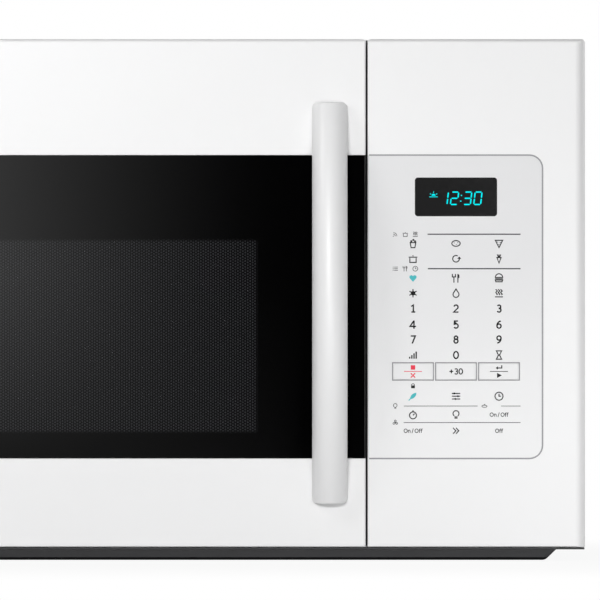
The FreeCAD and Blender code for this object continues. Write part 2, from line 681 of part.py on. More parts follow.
def base_pan():
    """Dark hood bottom with openings for the grease filters and the lamp."""
    plate = block(
        grown((LEFT, RIGHT), -BASE_EDGE_INSET),
        (FRONT + BASE_FRONT_INSET, BACK),
        (BASE_DROP, BASE_TOP),
    )
    pan = pan_frustum(0.0, 0.0, BASE_DROP)
    slanted = [edge for edge in pan.Edges if abs(edge.Vertexes[0].Z - edge.Vertexes[1].Z) > TOUCH]
    pan = pan.makeFillet(PAN_CORNER_ROUND, slanted)
    pan = pan.makeFillet(PAN_RIM_ROUND, edges_where(pan, lambda p: abs(p.z) < TOUCH))
    hollow = pan_frustum(BASE_SHEET * math.sqrt(2), BASE_SHEET, BASE_TOP + PAST)
    base = fused([plate, pan]).cut(hollow)
    openings = [screw_hole(*place) for place in base_screw_places()]
    through = (-PAST, BASE_SHEET + PAST)
    guides = []
    for x in filter_places():
        hole_x = grown(x, FIT)
        hole_y = grown(FILTER_Y, FIT)
        openings.append(block(hole_x, hole_y, through))
        guides += filter_guides(hole_x, hole_y)
    lamp_x = grown(around(0, LAMP_WIDTH), FIT)
    openings.append(block(lamp_x, grown(LAMP_Y, FIT), through))
    base = cut(base, *openings)
    return cut(fused([base] + guides + lamp_ears()), lamp_bore())


def filter_guides(x, y):
    """Upright rim round a filter opening, with tabs on top that stop the filter."""
    top = FILTER_TOP + FIT
    rim = block(grown(x, FILTER_GUIDE), grown(y, FILTER_GUIDE), (BASE_SHEET, top + FILTER_GUIDE))
    rim = rim.cut(block(x, y, (BASE_SHEET - PAST, top + FILTER_GUIDE + PAST)))
    tabs = []
    for middle in spaced(x[0], x[1], 4)[1:-1]:
        for inner, outer in ((y[0] + FILTER_TAB_REACH, y[0] - FILTER_GUIDE),
                             (y[1] - FILTER_TAB_REACH, y[1] + FILTER_GUIDE)):
            span = (min(inner, outer), max(inner, outer))
            tabs.append(block(around(middle, FILTER_TAB_WIDTH), span, (top, top + FILTER_GUIDE)))
    return [rim] + tabs


def lamp_ears():
    """Two lugs beside the lamp opening that carry the lamp cover's pins."""
    ears = []
    for side in (-1, 1):
        near = side * (LAMP_WIDTH / 2 + FIT)
        x = sorted((near, near + side * LAMP_EAR))
        ears.append(block(x, around(LAMP_AXIS_Y, 2 * LAMP_EAR), (0.0, LAMP_AXIS_Z + LAMP_EAR)))
    return ears


def lamp_bore():
    """One line of bores through both lugs for the lamp cover's pins."""
    reach = LAMP_WIDTH / 2 + LAMP_PIN_LENGTH + FIT
    return rod_x(LAMP_PIN_RADIUS + RUNNING_FIT, (-reach, reach), LAMP_AXIS_Y, LAMP_AXIS_Z)


def grease_filter(x):
    """Aluminium filter: a raised frame round a thinner mesh field."""
    frame = block(x, FILTER_Y, (FILTER_LIFT, FILTER_TOP))
    field_x = grown(x, -FILTER_RIM)
    field_y = grown(FILTER_Y, -FILTER_RIM)
    below = block(field_x, field_y, (FILTER_LIFT - PAST, FILTER_LIFT + FILTER_RECESS))
    above = block(field_x, field_y, (FILTER_TOP - FILTER_RECESS, FILTER_TOP + PAST))
    return cut(frame, below, above)


def lamp_cover():
    """Lens under the cooktop lamp with a rounded hinge edge and two pins."""
    x = around(0, LAMP_WIDTH)
    body = block(x, (LAMP_Y[0], LAMP_AXIS_Y), (LAMP_BOTTOM, LAMP_BOTTOM + LAMP_THICKNESS))
    barrel = rod_x(LAMP_THICKNESS / 2, x, LAMP_AXIS_Y, LAMP_AXIS_Z)
    pin = rod_x(LAMP_PIN_RADIUS, grown(x, LAMP_PIN_LENGTH), LAMP_AXIS_Y, LAMP_AXIS_Z)
    return fused([body, barrel, pin])


def cooktop_lamp():
    """Bulb and socket on a bracket that stands in the pan beside the lamp opening."""
    height = BASE_TOP + SOCKET_RADIUS
    start = LAMP_WIDTH / 2 + 2 * LAMP_EAR
    y = sum(LAMP_Y) / 2
    depth = around(y, 2 * SOCKET_RADIUS)
    bracket = block((start, start + SHEET * 2), depth, (BASE_SHEET, height + SOCKET_RADIUS))
    foot = block((start, start + SOCKET_LENGTH), depth, (BASE_SHEET, BASE_SHEET + SHEET))
    neck = start - SOCKET_LENGTH
    socket = rod_x(SOCKET_RADIUS, (neck, start), y, height)
    bulb = rod_x(BULB_RADIUS, (neck - BULB_LENGTH, neck), y, height)
    tip = Part.makeSphere(BULB_RADIUS, Vector(neck - BULB_LENGTH, y, height))
    return fused([bracket, foot, socket, bulb, tip])


def front_plate():
    """Steel front of the body: cavity mouth, latch slots and the opening behind the control panel."""
    plate = case_panel(PLATE_FRONT)
    through = (PLATE_FRONT - PAST, PLATE_BACK + PAST)
    mouth = block(CAVITY_X, through, CAVITY_Z)
    service = block(
        (PANEL_LEFT + 2 * FLANGE, RIGHT - 2 * FLANGE),
        through,
        (COMPARTMENT_TOP + 2 * FLANGE, HEIGHT - 4 * FLANGE),
    )
    slots = [latch_slot(bottom, through) for bottom in HOOK_BOTTOMS]
    holes = [screw_hole(*place) for place in hinge_screw_places()]
    return cut(plate, mouth, service, *slots, *holes)


def compartment_floor():
    """Shelf that carries the transformer and closes the hood's air space below it."""
    y = (PLATE_BACK, REAR_PANEL_FRONT - SHEET)
    return block(COMPARTMENT_X, y, (COMPARTMENT_FLOOR, COMPARTMENT_TOP))


# Oven cavity


def air_holes():
    """Perforated patch in the cavity's left wall."""
    holes = []
    middle_y = TRAY_Y
    middle_z = (CAVITY_Z[0] + CAVITY_Z[1]) / 2
    for row in range(AIR_HOLE_ROWS):
        for column in range(AIR_HOLE_COLUMNS):
            y = middle_y + (column - (AIR_HOLE_COLUMNS - 1) / 2) * AIR_HOLE_PITCH
            z = middle_z + (row - (AIR_HOLE_ROWS - 1) / 2) * AIR_HOLE_PITCH
            holes.append(rod_x(AIR_HOLE_RADIUS, (CAVITY_X[0] - SHEET - PAST, CAVITY_X[0] + PAST), y, z))
    return holes


def cavity_liner():
    """Five-walled oven box, open to the front plate."""
    outer = block(grown(CAVITY_X, SHEET), (CAVITY_Y[0], CAVITY_Y[1] + SHEET), grown(CAVITY_Z, SHEET))
    inner = block(CAVITY_X, (CAVITY_Y[0] - PAST, CAVITY_Y[1]), CAVITY_Z)
    port = block((CAVITY_X[1] - PAST, LINER_RIGHT + PAST), WAVE_PORT_Y, WAVE_PORT_Z)
    drive = rod_z(DRIVE_HOLE_RADIUS, TRAY_X, TRAY_Y, grown((CAVITY_FLOOR - SHEET, CAVITY_FLOOR), PAST))
    lamp = rod_z(OVEN_LAMP_RADIUS, TRAY_X, TRAY_Y, grown((CAVITY_Z[1], LINER_TOP), PAST))
    return cut(outer, inner, port, drive, lamp, *air_holes())


def oven_lamp():
    """Cavity lamp: a bulb over the hole in the cavity's roof, in a socket that stands on the roof."""
    top = LINER_TOP + OVEN_LAMP_LENGTH
    socket = rod_z(SOCKET_RADIUS, TRAY_X, TRAY_Y, (LINER_TOP, top))
    hollow = rod_z(OVEN_LAMP_RADIUS, TRAY_X, TRAY_Y, (LINER_TOP - PAST, top - MOULDED_WALL))
    bulb = rod_z(OVEN_LAMP_RADIUS - MOULDED_WALL, TRAY_X, TRAY_Y, (LINER_TOP + MOULDED_WALL, top))
    return fused([socket.cut(hollow), bulb])


def wave_cover():
    """Mica sheet over the waveguide's mouth, on the inside of the cavity's right wall."""
    x = (CAVITY_X[1] - WAVE_COVER_THICKNESS, CAVITY_X[1])
    return block(x, grown(WAVE_PORT_Y, WAVE_COVER_LIP), grown(WAVE_PORT_Z, WAVE_COVER_LIP))


def waveguide():
    """Short rectangular duct from the magnetron's antenna to the cavity wall."""
    x = (LINER_RIGHT, WAVEGUIDE_RIGHT)
    duct = block(x, grown(WAVE_PORT_Y, SHEET), grown(WAVE_PORT_Z, SHEET))
    inside = block((x[0] - PAST, x[1] - SHEET), WAVE_PORT_Y, WAVE_PORT_Z)
    y = sum(WAVE_PORT_Y) / 2
    z = sum(WAVE_PORT_Z) / 2
    mouth = rod_x(ANTENNA_RADIUS + FIT, grown((x[1] - SHEET, x[1]), PAST), y, z)
    return cut(duct, inside, mouth)


def magnetron():
    """Magnetron with its yoke, cooling fins and antenna."""
    length, depth, height = MAGNETRON_SIZE
    y = sum(WAVE_PORT_Y) / 2
    z = sum(WAVE_PORT_Z) / 2
    x = (WAVEGUIDE_RIGHT, WAVEGUIDE_RIGHT + length)
    yoke = block(x, around(y, depth), around(z, height))
    yoke = yoke.cut(block(grown(x, -MAGNETRON_PLATE), grown(around(y, depth), PAST),
                          grown(around(z, height), -MAGNETRON_PLATE)))
    anode = rod_x(height / 4, x, y, z)
    antenna = rod_x(ANTENNA_RADIUS, (x[0] - ANTENNA_LENGTH, x[0]), y, z)
    fins = []
    for middle in spaced(x[0], x[1], MAGNETRON_FIN_COUNT + 2)[1:-1]:
        fins.append(block(around(middle, MAGNETRON_FIN_THICKNESS), around(y, depth), around(z, height)))
    filter_box = block((x[1], x[1] + length / 3), around(y, depth / 2), around(z, height / 2))
    return fused([yoke, anode, antenna, filter_box] + fins)


def hv_transformer():
    """High voltage transformer: a laminated core with a winding round its middle limb."""
    length, depth, height = TRANSFORMER_CORE
    x = (COMPONENT_X - length, COMPONENT_X)
    y0 = PLATE_BACK + TRANSFORMER_FROM_FRONT
    core = block(x, (y0, y0 + depth), (COMPARTMENT_TOP, COMPARTMENT_TOP + height))
    middle = sum(x) / 2
    limb = length / 6
    window_z = (COMPARTMENT_TOP + limb, COMPARTMENT_TOP + height - limb)
    windows = []
    for side in (-1, 1):
        window_x = sorted((middle + side * limb, middle + 2 * side * limb))
        windows.append(block(window_x, grown((y0, y0 + depth), PAST), window_z))
    coil = block(around(middle, 4 * limb), grown((y0, y0 + depth), TRANSFORMER_COIL), window_z)
    return fused([cut(core, *windows), coil])


def hv_capacitor():
    """High voltage capacitor: an oval can with two terminals, behind the transformer."""
    length, depth, height = CAPACITOR_SIZE
    y = PLATE_BACK + TRANSFORMER_FROM_FRONT + TRANSFORMER_CORE[1] + TRANSFORMER_COIL + depth
    half = (length - depth) / 2
    middle = COMPONENT_X - length / 2
    z = (COMPARTMENT_TOP, COMPARTMENT_TOP + height)
    pin_z = (z[1], z[1] + CAPACITOR_TERMINAL_HEIGHT)
    centres = (middle - half, middle + half)
    ends = [rod_z(depth / 2, x, y, z) for x in centres]
    body = block(centres, around(y, depth), z)
    pins = [rod_z(CAPACITOR_TERMINAL_RADIUS, x, y, pin_z) for x in centres]
    return fused([body] + ends + pins)


# Cooling fan


def cooling_shroud():
    """Plate with a round throat that stands on the compartment floor."""
    radius = COOLING_RADIUS + COOLING_TIP_GAP
    y = (SHROUD_FRONT, SHROUD_FRONT + 2 * SHEET)
    plate = block(
        around(COOLING_X, 2 * (radius + COOLING_SHROUD_MARGIN)),
        y,
        (COMPARTMENT_TOP, COOLING_Z + radius + COOLING_SHROUD_MARGIN),
    )
    return plate.cut(rod_y(radius, COOLING_X, grown(y, PAST), COOLING_Z))


def cooling_motor():
    """Fan motor held behind the throat by two struts from the shroud."""
    start = COOLING_HUB_BACK + FIT
    y = (start, start + COOLING_MOTOR_LENGTH)
    body = block(around(COOLING_X, COOLING_MOTOR_SIZE), y, around(COOLING_Z, COOLING_MOTOR_SIZE))
    bore = rod_y(COOLING_SHAFT_RADIUS + RUNNING_FIT, COOLING_X, grown(y, PAST), COOLING_Z)
    reach = COOLING_RADIUS + COOLING_TIP_GAP + COOLING_SHROUD_MARGIN / 2
    strut_z = around(COOLING_Z, COOLING_STRUT)
    struts = [block(around(COOLING_X, 2 * reach), (y[1] - COOLING_STRUT, y[1]), strut_z)]
    for x in around(COOLING_X, 2 * reach):
        struts.append(block(around(x, COOLING_STRUT), (SHROUD_FRONT + 2 * SHEET, y[1]), strut_z))
    return fused([body] + struts).cut(bore)


def cooling_fan():
    """Five pitched blades on a hub, with the shaft that runs in the motor."""
    hub_y = (COOLING_HUB_BACK - COOLING_HUB_LENGTH, COOLING_HUB_BACK)
    shaft_y = (hub_y[1], hub_y[1] + FIT + COOLING_MOTOR_LENGTH)
    hub = rod_y(COOLING_HUB_RADIUS, COOLING_X, hub_y, COOLING_Z)
    shaft = rod_y(COOLING_SHAFT_RADIUS, COOLING_X, shaft_y, COOLING_Z)
    middle = Vector(COOLING_X, sum(hub_y) / 2, COOLING_Z)
    blades = []
    for i in range(COOLING_BLADES):
        blade = block(
            around(middle.x, COOLING_BLADE_CHORD),
            around(middle.y, COOLING_BLADE_THICKNESS),
            (middle.z + COOLING_HUB_RADIUS / 2, middle.z + COOLING_RADIUS),
        )
        blade.rotate(middle, Vector(0, 0, 1), COOLING_BLADE_PITCH)
        blade.rotate(middle, Vector(0, 1, 0), 360 * i / COOLING_BLADES)
        blades.append(blade)
    sweep = rod_y(COOLING_RADIUS, COOLING_X, grown(hub_y, PAST), COOLING_Z)
    return fused([hub, shaft] + [blade.common(sweep) for blade in blades])


# Vent blower


def blower_drum(x, radius, outlet_bottom, mouth):
    """Drum with a flat outlet that runs forward from its upper half."""
    outlet = block(x, (mouth, BLOWER_Y), (outlet_bottom, BLOWER_Z + radius))
    return rod_x(radius, x, BLOWER_Y, BLOWER_Z).fuse(outlet)


def blower_scroll(x):
    """One scroll housing on its foot, open at both inlets and at the outlet."""
    wall = BLOWER_SCROLL_WALL
    mouth = BLOWER_Y - BLOWER_OUTLET_LENGTH
    foot = block(x, around(BLOWER_Y, BLOWER_SCROLL_RADIUS), (LINER_TOP, BLOWER_Z))
    outer = blower_drum(x, BLOWER_SCROLL_RADIUS, BLOWER_Z, mouth).fuse(foot)
    inner = blower_drum(grown(x, -wall), BLOWER_SCROLL_RADIUS - wall, BLOWER_Z + wall, mouth - PAST)
    inlet = rod_x(BLOWER_INLET_RADIUS, grown(x, PAST), BLOWER_Y, BLOWER_Z)
    return cut(outer, inner, inlet)


def blower_housings():
    """The two scroll housings on the cavity's roof."""
    near = BLOWER_MOTOR_LENGTH / 2 + BLOWER_MOTOR_SPACE
    far = near + BLOWER_WHEEL_WIDTH + 2 * BLOWER_SIDE_GAP + 2 * BLOWER_SCROLL_WALL
    return Part.makeCompound([blower_scroll((-far, -near)), blower_scroll((near, far))])


def blower_motor():
    """Vent motor on a cradle between the two scrolls."""
    x = around(0, BLOWER_MOTOR_LENGTH)
    body = rod_x(BLOWER_MOTOR_RADIUS, x, BLOWER_Y, BLOWER_Z)
    cradle_x = around(0, BLOWER_MOTOR_LENGTH / 2)
    cradle = block(cradle_x, around(BLOWER_Y, BLOWER_MOTOR_RADIUS), (LINER_TOP, BLOWER_Z))
    bore = rod_x(BLOWER_SHAFT_RADIUS + RUNNING_FIT, grown(x, PAST), BLOWER_Y, BLOWER_Z)
    return fused([body, cradle]).cut(bore)


def blower_wheel(side):
    """Squirrel cage: a hub disc, blades round the rim and an end ring."""
    start = side * BLOWER_WHEEL_START
    end = start + side * BLOWER_WHEEL_WIDTH
    rim = BLOWER_WHEEL_RADIUS - BLOWER_BLADE_DEPTH
    disc_x = sorted((start, start + side * BLOWER_HUB_DISC))
    disc = rod_x(BLOWER_WHEEL_RADIUS, disc_x, BLOWER_Y, BLOWER_Z)
    bore = rod_x(BLOWER_SHAFT_RADIUS, grown(disc_x, PAST), BLOWER_Y, BLOWER_Z)
    ring_x = sorted((end - side * BLOWER_HUB_DISC, end))
    ring = rod_x(BLOWER_WHEEL_RADIUS, ring_x, BLOWER_Y, BLOWER_Z)
    ring = ring.cut(rod_x(rim, grown(ring_x, PAST), BLOWER_Y, BLOWER_Z))
    blade_z = grown((BLOWER_Z + rim, BLOWER_Z + BLOWER_WHEEL_RADIUS), -BLOWER_BLADE_THICKNESS)
    blades = []
    for i in range(BLOWER_BLADES):
        blade = block(sorted((start, end)), around(BLOWER_Y, BLOWER_BLADE_THICKNESS), blade_z)
        blade.rotate(Vector(0, BLOWER_Y, BLOWER_Z), Vector(1, 0, 0), 360 * i / BLOWER_BLADES)
        blades.append(blade)
    return fused([disc.cut(bore), ring] + blades)


def blower_wheels():
    """The two blower wheels, one at each end of the motor."""
    return Part.makeCompound([blower_wheel(-1), blower_wheel(1)])


def blower_shaft():
    """Shaft through the motor that carries both blower wheels."""
    reach = BLOWER_WHEEL_START + BLOWER_HUB_DISC + BLOWER_SHAFT_RADIUS
    return rod_x(BLOWER_SHAFT_RADIUS, (-reach, reach), BLOWER_Y, BLOWER_Z)


# Fittings in the top


def vent_grille():
    """Slotted strip let into the top behind the door, with a flange under the sheet."""
    z = (HEIGHT - GRILLE_THICKNESS, HEIGHT)
    strip = block(grown(GRILLE_X, -FIT), grown(GRILLE_Y, -FIT), z)
    flange = block(grown(GRILLE_X, GRILLE_FLANGE), grown(GRILLE_Y, GRILLE_FLANGE), (z[0], HEIGHT - SHEET))
    pitch = GRILLE_SLOT_WIDTH + GRILLE_BAR_WIDTH
    count = int((GRILLE_X[1] - GRILLE_X[0] - 2 * GRILLE_RAIL) / pitch)
    middle = sum(GRILLE_X) / 2
    slots = []
    for i in range(count):
        x = middle + (i - (count - 1) / 2) * pitch
        slots.append(block(around(x, GRILLE_SLOT_WIDTH), grown(GRILLE_Y, -GRILLE_RAIL), grown(z, PAST)))
    return cut(fused([strip, flange]), *slots)


def charcoal_filter():
    """Odour filter clipped under the grille."""
    top = HEIGHT - GRILLE_THICKNESS
    return block(around(0, CHARCOAL_WIDTH), GRILLE_Y, (top - CHARCOAL_HEIGHT, top))


def cord_bush():
    """Rubber bush in the top where the power cord leaves."""
    z = (HEIGHT - CORD_BUSH_LENGTH, HEIGHT)
    sleeve = rod_z(CORD_BUSH_RADIUS - RUNNING_FIT, CORD_X, CORD_Y, z)
    flange = rod_z(CORD_BUSH_FLANGE, CORD_X, CORD_Y, (HEIGHT - SHEET - MOULDED_WALL, HEIGHT - SHEET))
    return fused([sleeve, flange]).cut(rod_z(CORD_BORE_RADIUS, CORD_X, CORD_Y, grown(z, PAST)))


# Control panel


def key_places():
    """Middles of the three framed keys, from left to right."""
    return [KEYPAD_X + KEY_PITCH * i for i in (-1, 0, 1)]


def key_span(middle, extra):
    """Left-to-right and bottom-to-top spans of a key grown by a clearance."""
    return grown(around(middle, KEY_WIDTH), extra), grown(around(KEY_Z, KEY_HEIGHT), extra)


def panel_openings(y):
    """Openings for the display lens and the framed keys between two depths."""
    tools = [rounded_slab(DISPLAY_X, y, DISPLAY_Z, DISPLAY_CORNER, DISPLAY_CORNER)]
    for middle in key_places():
        x, z = key_span(middle, 0.0)
        tools.append(rounded_slab(x, y, z, KEY_CORNER, KEY_CORNER))
    return tools


def control_panel():
    """White moulding beside the door, recessed for the keypad film, with posts for the board."""
    panel = front_shell((PANEL_LEFT, RIGHT), PLATE_FRONT - FRONT, GAP_ROUND, EDGE_ROUND)
    recess = rounded_slab(
        (PANEL_LEFT - PAST, FILM_RIGHT), (FRONT - PAST, FRONT + FILM_THICKNESS), (BAND_BOTTOM, BAND_TOP),
        0.0, BAND_CORNER,
    )
    openings = panel_openings((FRONT - PAST, PANEL_INSIDE + PAST))
    post_y = (FRONT + FILM_THICKNESS + SHEET, BOARD_FRONT)
    posts = [rod_y(BOARD_POST_RADIUS, x, post_y, z)
             for x in grown(BOARD_X, -2 * BOARD_POST_RADIUS) for z in grown(BOARD_Z, -2 * BOARD_POST_RADIUS)]
    return fused([cut(panel, recess, *openings)] + posts)


def keypad_film():
    """Printed film over the keypad: it follows the panel's rounded edge and is open for the keys."""
    y = (FRONT, FRONT + FILM_THICKNESS)
    z = grown((BAND_BOTTOM, BAND_TOP), -FIT)
    film = rounded_slab((PANEL_LEFT, FILM_RIGHT - FIT), y, z, 0.0, BAND_CORNER - FIT)
    panel_y = (FRONT, FRONT + 2 * GAP_ROUND)
    film = film.common(rounded_front((PANEL_LEFT, FILM_RIGHT), panel_y, z, GAP_ROUND, 0.0))
    return cut(film, *panel_openings(grown(y, PAST)))


def display_lens():
    """Smoked window over the clock display, flanged behind the panel."""
    x = grown(DISPLAY_X, -FIT / 2)
    z = grown(DISPLAY_Z, -FIT / 2)
    window = rounded_slab(x, (FRONT, PANEL_INSIDE), z, DISPLAY_CORNER, DISPLAY_CORNER)
    flange_y = (PANEL_INSIDE, PANEL_INSIDE + FLANGE_THICKNESS)
    flange = block(grown(x, LENS_FLANGE), flange_y, grown(z, LENS_FLANGE))
    return fused([window, flange])


def display_module():
    """Lit clock display between the lens and the board."""
    return block(DISPLAY_X, (PANEL_INSIDE + FLANGE_THICKNESS, BOARD_FRONT), DISPLAY_Z)


def framed_key(middle):
    """Key pad that stands level with the film and is held by a flange behind the panel."""
    x, z = key_span(middle, -FIT)
    cap = rounded_slab(x, (FRONT, PANEL_INSIDE), z, KEY_CORNER, KEY_CORNER)
    flange = block(grown(x, KEY_FLANGE), (PANEL_INSIDE, PANEL_INSIDE + FLANGE_THICKNESS), z)
    lip = block(x, (PANEL_INSIDE, PANEL_INSIDE + FLANGE_THICKNESS), grown(z, KEY_FLANGE))
    return fused([cap, flange, lip])


def control_board():
    """Circuit board with a switch behind each framed key, a relay, a power block and a buzzer."""
    y = (BOARD_FRONT, BOARD_FRONT + BOARD_THICKNESS)
    pieces = [block(BOARD_X, y, BOARD_Z)]
    stem = PANEL_INSIDE + FLANGE_THICKNESS + KEY_TRAVEL
    for middle in key_places():
        pieces.append(block(around(middle, TACT_SWITCH), (stem, y[0]), around(KEY_Z, TACT_SWITCH)))
    rear = (y[1], y[1] + BOARD_PART_HEIGHT)
    left, right = grown(BOARD_X, -BOARD_MARGIN)
    low, high = grown(BOARD_Z, -BOARD_MARGIN)
    pieces.append(block((left, left + RELAY_SIZE), rear, (low, low + RELAY_SIZE)))
    pieces.append(block((right - POWER_BLOCK_SIZE, right), rear, (high - POWER_BLOCK_SIZE, high)))
    pieces.append(rod_y(BUZZER_RADIUS, sum(BOARD_X) / 2, rear, sum(BOARD_Z) / 2))
    return fused(pieces)


# Door


def hinge_pocket_tools(edge, inward):
    """Pocket cut from the door for a hinge leaf, open to the back and the side."""
    z = pocket_span(edge, inward, -PAST, HINGE_POCKET_DEPTH)
    y = (FRONT + HINGE_POCKET_LIP, DOOR_WALL_BACK + PAST)
    return block((LEFT - PAST, LEFT + HINGE_POCKET_WIDTH), y, z)


def hinge_pocket_walls(edge, inward):
    """Floor, end wall and bored boss that close the hinge pocket inside the door."""
    floor_z = pocket_span(edge, inward, HINGE_POCKET_DEPTH, HINGE_POCKET_DEPTH + MOULDED_WALL)
    y = (FRONT + MOULDED_WALL / 2, DOOR_WALL_BACK)
    x = (LEFT + MOULDED_WALL / 2, LEFT + HINGE_POCKET_WIDTH + MOULDED_WALL)
    floor = block(x, y, floor_z)
    end_z = pocket_span(edge, inward, MOULDED_WALL / 2, HINGE_POCKET_DEPTH + MOULDED_WALL)
    end = block((LEFT + HINGE_POCKET_WIDTH, x[1]), y, end_z)
    boss_z = pocket_span(edge, inward, HINGE_POCKET_DEPTH, HINGE_POCKET_DEPTH + HINGE_PIN_LENGTH)
    return [floor, end, rod_z(HINGE_BOSS_RADIUS, HINGE_X, HINGE_Y, boss_z)]


def hinge_bore(edge, inward):
    """Bore in the door for one hinge pin."""
    z = pocket_span(edge, inward, 0.0, HINGE_POCKET_DEPTH + HINGE_PIN_LENGTH + PAST)
    return rod_z(HINGE_PIN_RADIUS + RUNNING_FIT, HINGE_X, HINGE_Y, z)


def door_frame():
    """White front of the door: a hollow moulding, recessed for the glass and pocketed for the hinges."""
    form = ((LEFT, DOOR_RIGHT), DOOR_WALL_DEPTH, EDGE_ROUND, GAP_ROUND)
    frame = front_shell(*form)
    tray = block(
        (GLASS_LEFT - MOULDED_WALL, DOOR_RIGHT - MOULDED_WALL / 2),
        (FRONT + MOULDED_WALL / 2, DOOR_PAN_FRONT),
        grown((BAND_BOTTOM, BAND_TOP), MOULDED_WALL),
    )
    frame = fused([frame, tray])
    frame = frame.cut([hinge_pocket_tools(*edge) for edge in DOOR_EDGES])
    solid = front_body(*form)
    walls = [wall.common(solid) for edge in DOOR_EDGES for wall in hinge_pocket_walls(*edge)]
    frame = fused([frame] + walls)
    recess_x = (GLASS_LEFT, DOOR_RIGHT + PAST)
    recess_y = (FRONT - PAST, FRONT + GLASS_THICKNESS)
    recess = rounded_slab(recess_x, recess_y, (BAND_BOTTOM, BAND_TOP), BAND_CORNER, 0.0)
    window_y = (FRONT, DOOR_PAN_FRONT + PAST)
    window = block(grown(SCREEN_X, WINDOW_LIP), window_y, grown(SCREEN_Z, WINDOW_LIP))
    holes = [screw_hole(*place) for place in handle_screw_places()]
    bores = [hinge_bore(*edge) for edge in DOOR_EDGES]
    return cut(frame, recess, window, *holes, *bores)


def door_glass():
    """Black glass band, bevelled at the edge beside the control panel."""
    y = (FRONT, FRONT + GLASS_THICKNESS)
    z = grown((BAND_BOTTOM, BAND_TOP), -FIT)
    band = rounded_slab((GLASS_LEFT + FIT, DOOR_RIGHT), y, z, BAND_CORNER - FIT, 0.0)
    edge = edges_where(band, lambda p: abs(p.x - DOOR_RIGHT) < TOUCH and abs(p.y - FRONT) < TOUCH)
    return band.makeChamfer(GLASS_BEVEL, edge)


def door_pan():
    """Steel pan behind the glass: a web with the screen's window and four choke walls."""
    y = (DOOR_PAN_FRONT, DOOR_PAN_BACK)
    pan = block(DOOR_PAN_X, y, DOOR_PAN_Z)
    hollow = block(grown(DOOR_PAN_X, -SHEET), (y[0] + SHEET, y[1] + PAST), grown(DOOR_PAN_Z, -SHEET))
    window = block(SCREEN_X, (y[0] - PAST, y[0] + SHEET + PAST), SCREEN_Z)
    return cut(pan, hollow, window)


def door_screen():
    """Perforated screen that fills the pan's window; its holes are finer than this model shows."""
    return block(SCREEN_X, (DOOR_PAN_FRONT, DOOR_PAN_FRONT + SCREEN_THICKNESS), SCREEN_Z)


def door_inner_sheet():
    """Clear sheet over the screen on the cavity side."""
    y = (DOOR_PAN_FRONT + SHEET, DOOR_PAN_FRONT + SHEET + INNER_SHEET_THICKNESS)
    return block(grown(SCREEN_X, INNER_SHEET_LIP), y, grown(SCREEN_Z, INNER_SHEET_LIP))


def choke_cover():
    """Dark frame that closes the choke round the door pan and frames the window inside."""
    y = (DOOR_PAN_BACK, FRONT + DOOR_DEPTH)
    ring = block(DOOR_PAN_X, y, DOOR_PAN_Z)
    sleeve_y = (DOOR_PAN_FRONT + SHEET + INNER_SHEET_THICKNESS, y[1])
    sleeve = block(grown(SCREEN_X, INNER_SHEET_LIP), sleeve_y, grown(SCREEN_Z, INNER_SHEET_LIP))
    view_x = grown(SCREEN_X, INNER_SHEET_LIP - CHOKE_WALL)
    view_z = grown(SCREEN_Z, INNER_SHEET_LIP - CHOKE_WALL)
    return fused([ring, sleeve]).cut(block(view_x, grown(sleeve_y, PAST), view_z))


def latch_slot(bottom, y):
    """Slot for one latch hook, tall enough for the hook's lip and for its travel."""
    x = grown(around(LATCH_X, LATCH_THICKNESS), SEAL_GAP)
    z = (bottom - LATCH_HOOK_LIP - SEAL_GAP, bottom + LATCH_HOOK_HEIGHT + LATCH_TRAVEL + SEAL_GAP)
    return block(x, y, z)


def door_back_cover():
    """Sheet that closes the hollow of the door round the pan."""
    y = (DOOR_WALL_BACK - BACK_COVER_THICKNESS, DOOR_WALL_BACK)
    x = grown((LEFT, DOOR_RIGHT), -MOULDED_WALL)
    z = grown((FACE_BOTTOM, FACE_TOP), -MOULDED_WALL)
    cover = block(x, y, z).cut(block(DOOR_PAN_X, grown(y, PAST), DOOR_PAN_Z))
    pockets = []
    for edge, inward in DOOR_EDGES:
        pocket_z = pocket_span(edge, inward, 0.0, HINGE_POCKET_DEPTH + MOULDED_WALL)
        pockets.append(block((LEFT, LEFT + HINGE_POCKET_WIDTH + MOULDED_WALL), grown(y, PAST), pocket_z))
        boss_z = pocket_span(edge, inward, 0.0, HINGE_POCKET_DEPTH + HINGE_PIN_LENGTH)
        pockets.append(rod_z(HINGE_BOSS_RADIUS, HINGE_X, HINGE_Y, boss_z))
    lever_x = grown(around(LATCH_X, LATCH_THICKNESS), FIT)
    slots = []
    for bottom in HOOK_BOTTOMS:
        slot_z = (bottom - LATCH_HOOK_LIP - FIT, bottom + LATCH_HOOK_HEIGHT + LATCH_TRAVEL + FIT)
        slots.append(block(lever_x, grown(y, PAST), slot_z))
    return cut(cover, *pockets, *slots)


def latch_hooks():
    """Sprung lever inside the door with two hooks that reach through the front plate."""
    x = around(LATCH_X, LATCH_THICKNESS)
    lever = block(x, (LATCH_FRONT, LATCH_FRONT + LATCH_DEPTH), around(LATCH_MID, LATCH_LENGTH))
    arms = []
    tip = PLATE_BACK + LATCH_HOOK_REACH
    for bottom in HOOK_BOTTOMS:
        top = bottom + LATCH_HOOK_HEIGHT
        corners = [
            Vector(x[0], LATCH_FRONT + LATCH_DEPTH / 2, bottom),
            Vector(x[0], tip - 2 * LATCH_HOOK_LIP, bottom),
            Vector(x[0], tip - LATCH_HOOK_LIP, bottom - LATCH_HOOK_LIP),
            Vector(x[0], tip, bottom + LATCH_HOOK_LIP),
            Vector(x[0], tip - LATCH_HOOK_LIP, top),
            Vector(x[0], LATCH_FRONT + LATCH_DEPTH / 2, top),
        ]
        profile = Part.Face(Part.makePolygon(corners + corners[:1]))
        arms.append(profile.extrude(Vector(LATCH_THICKNESS, 0, 0)))
    return fused([lever] + arms)


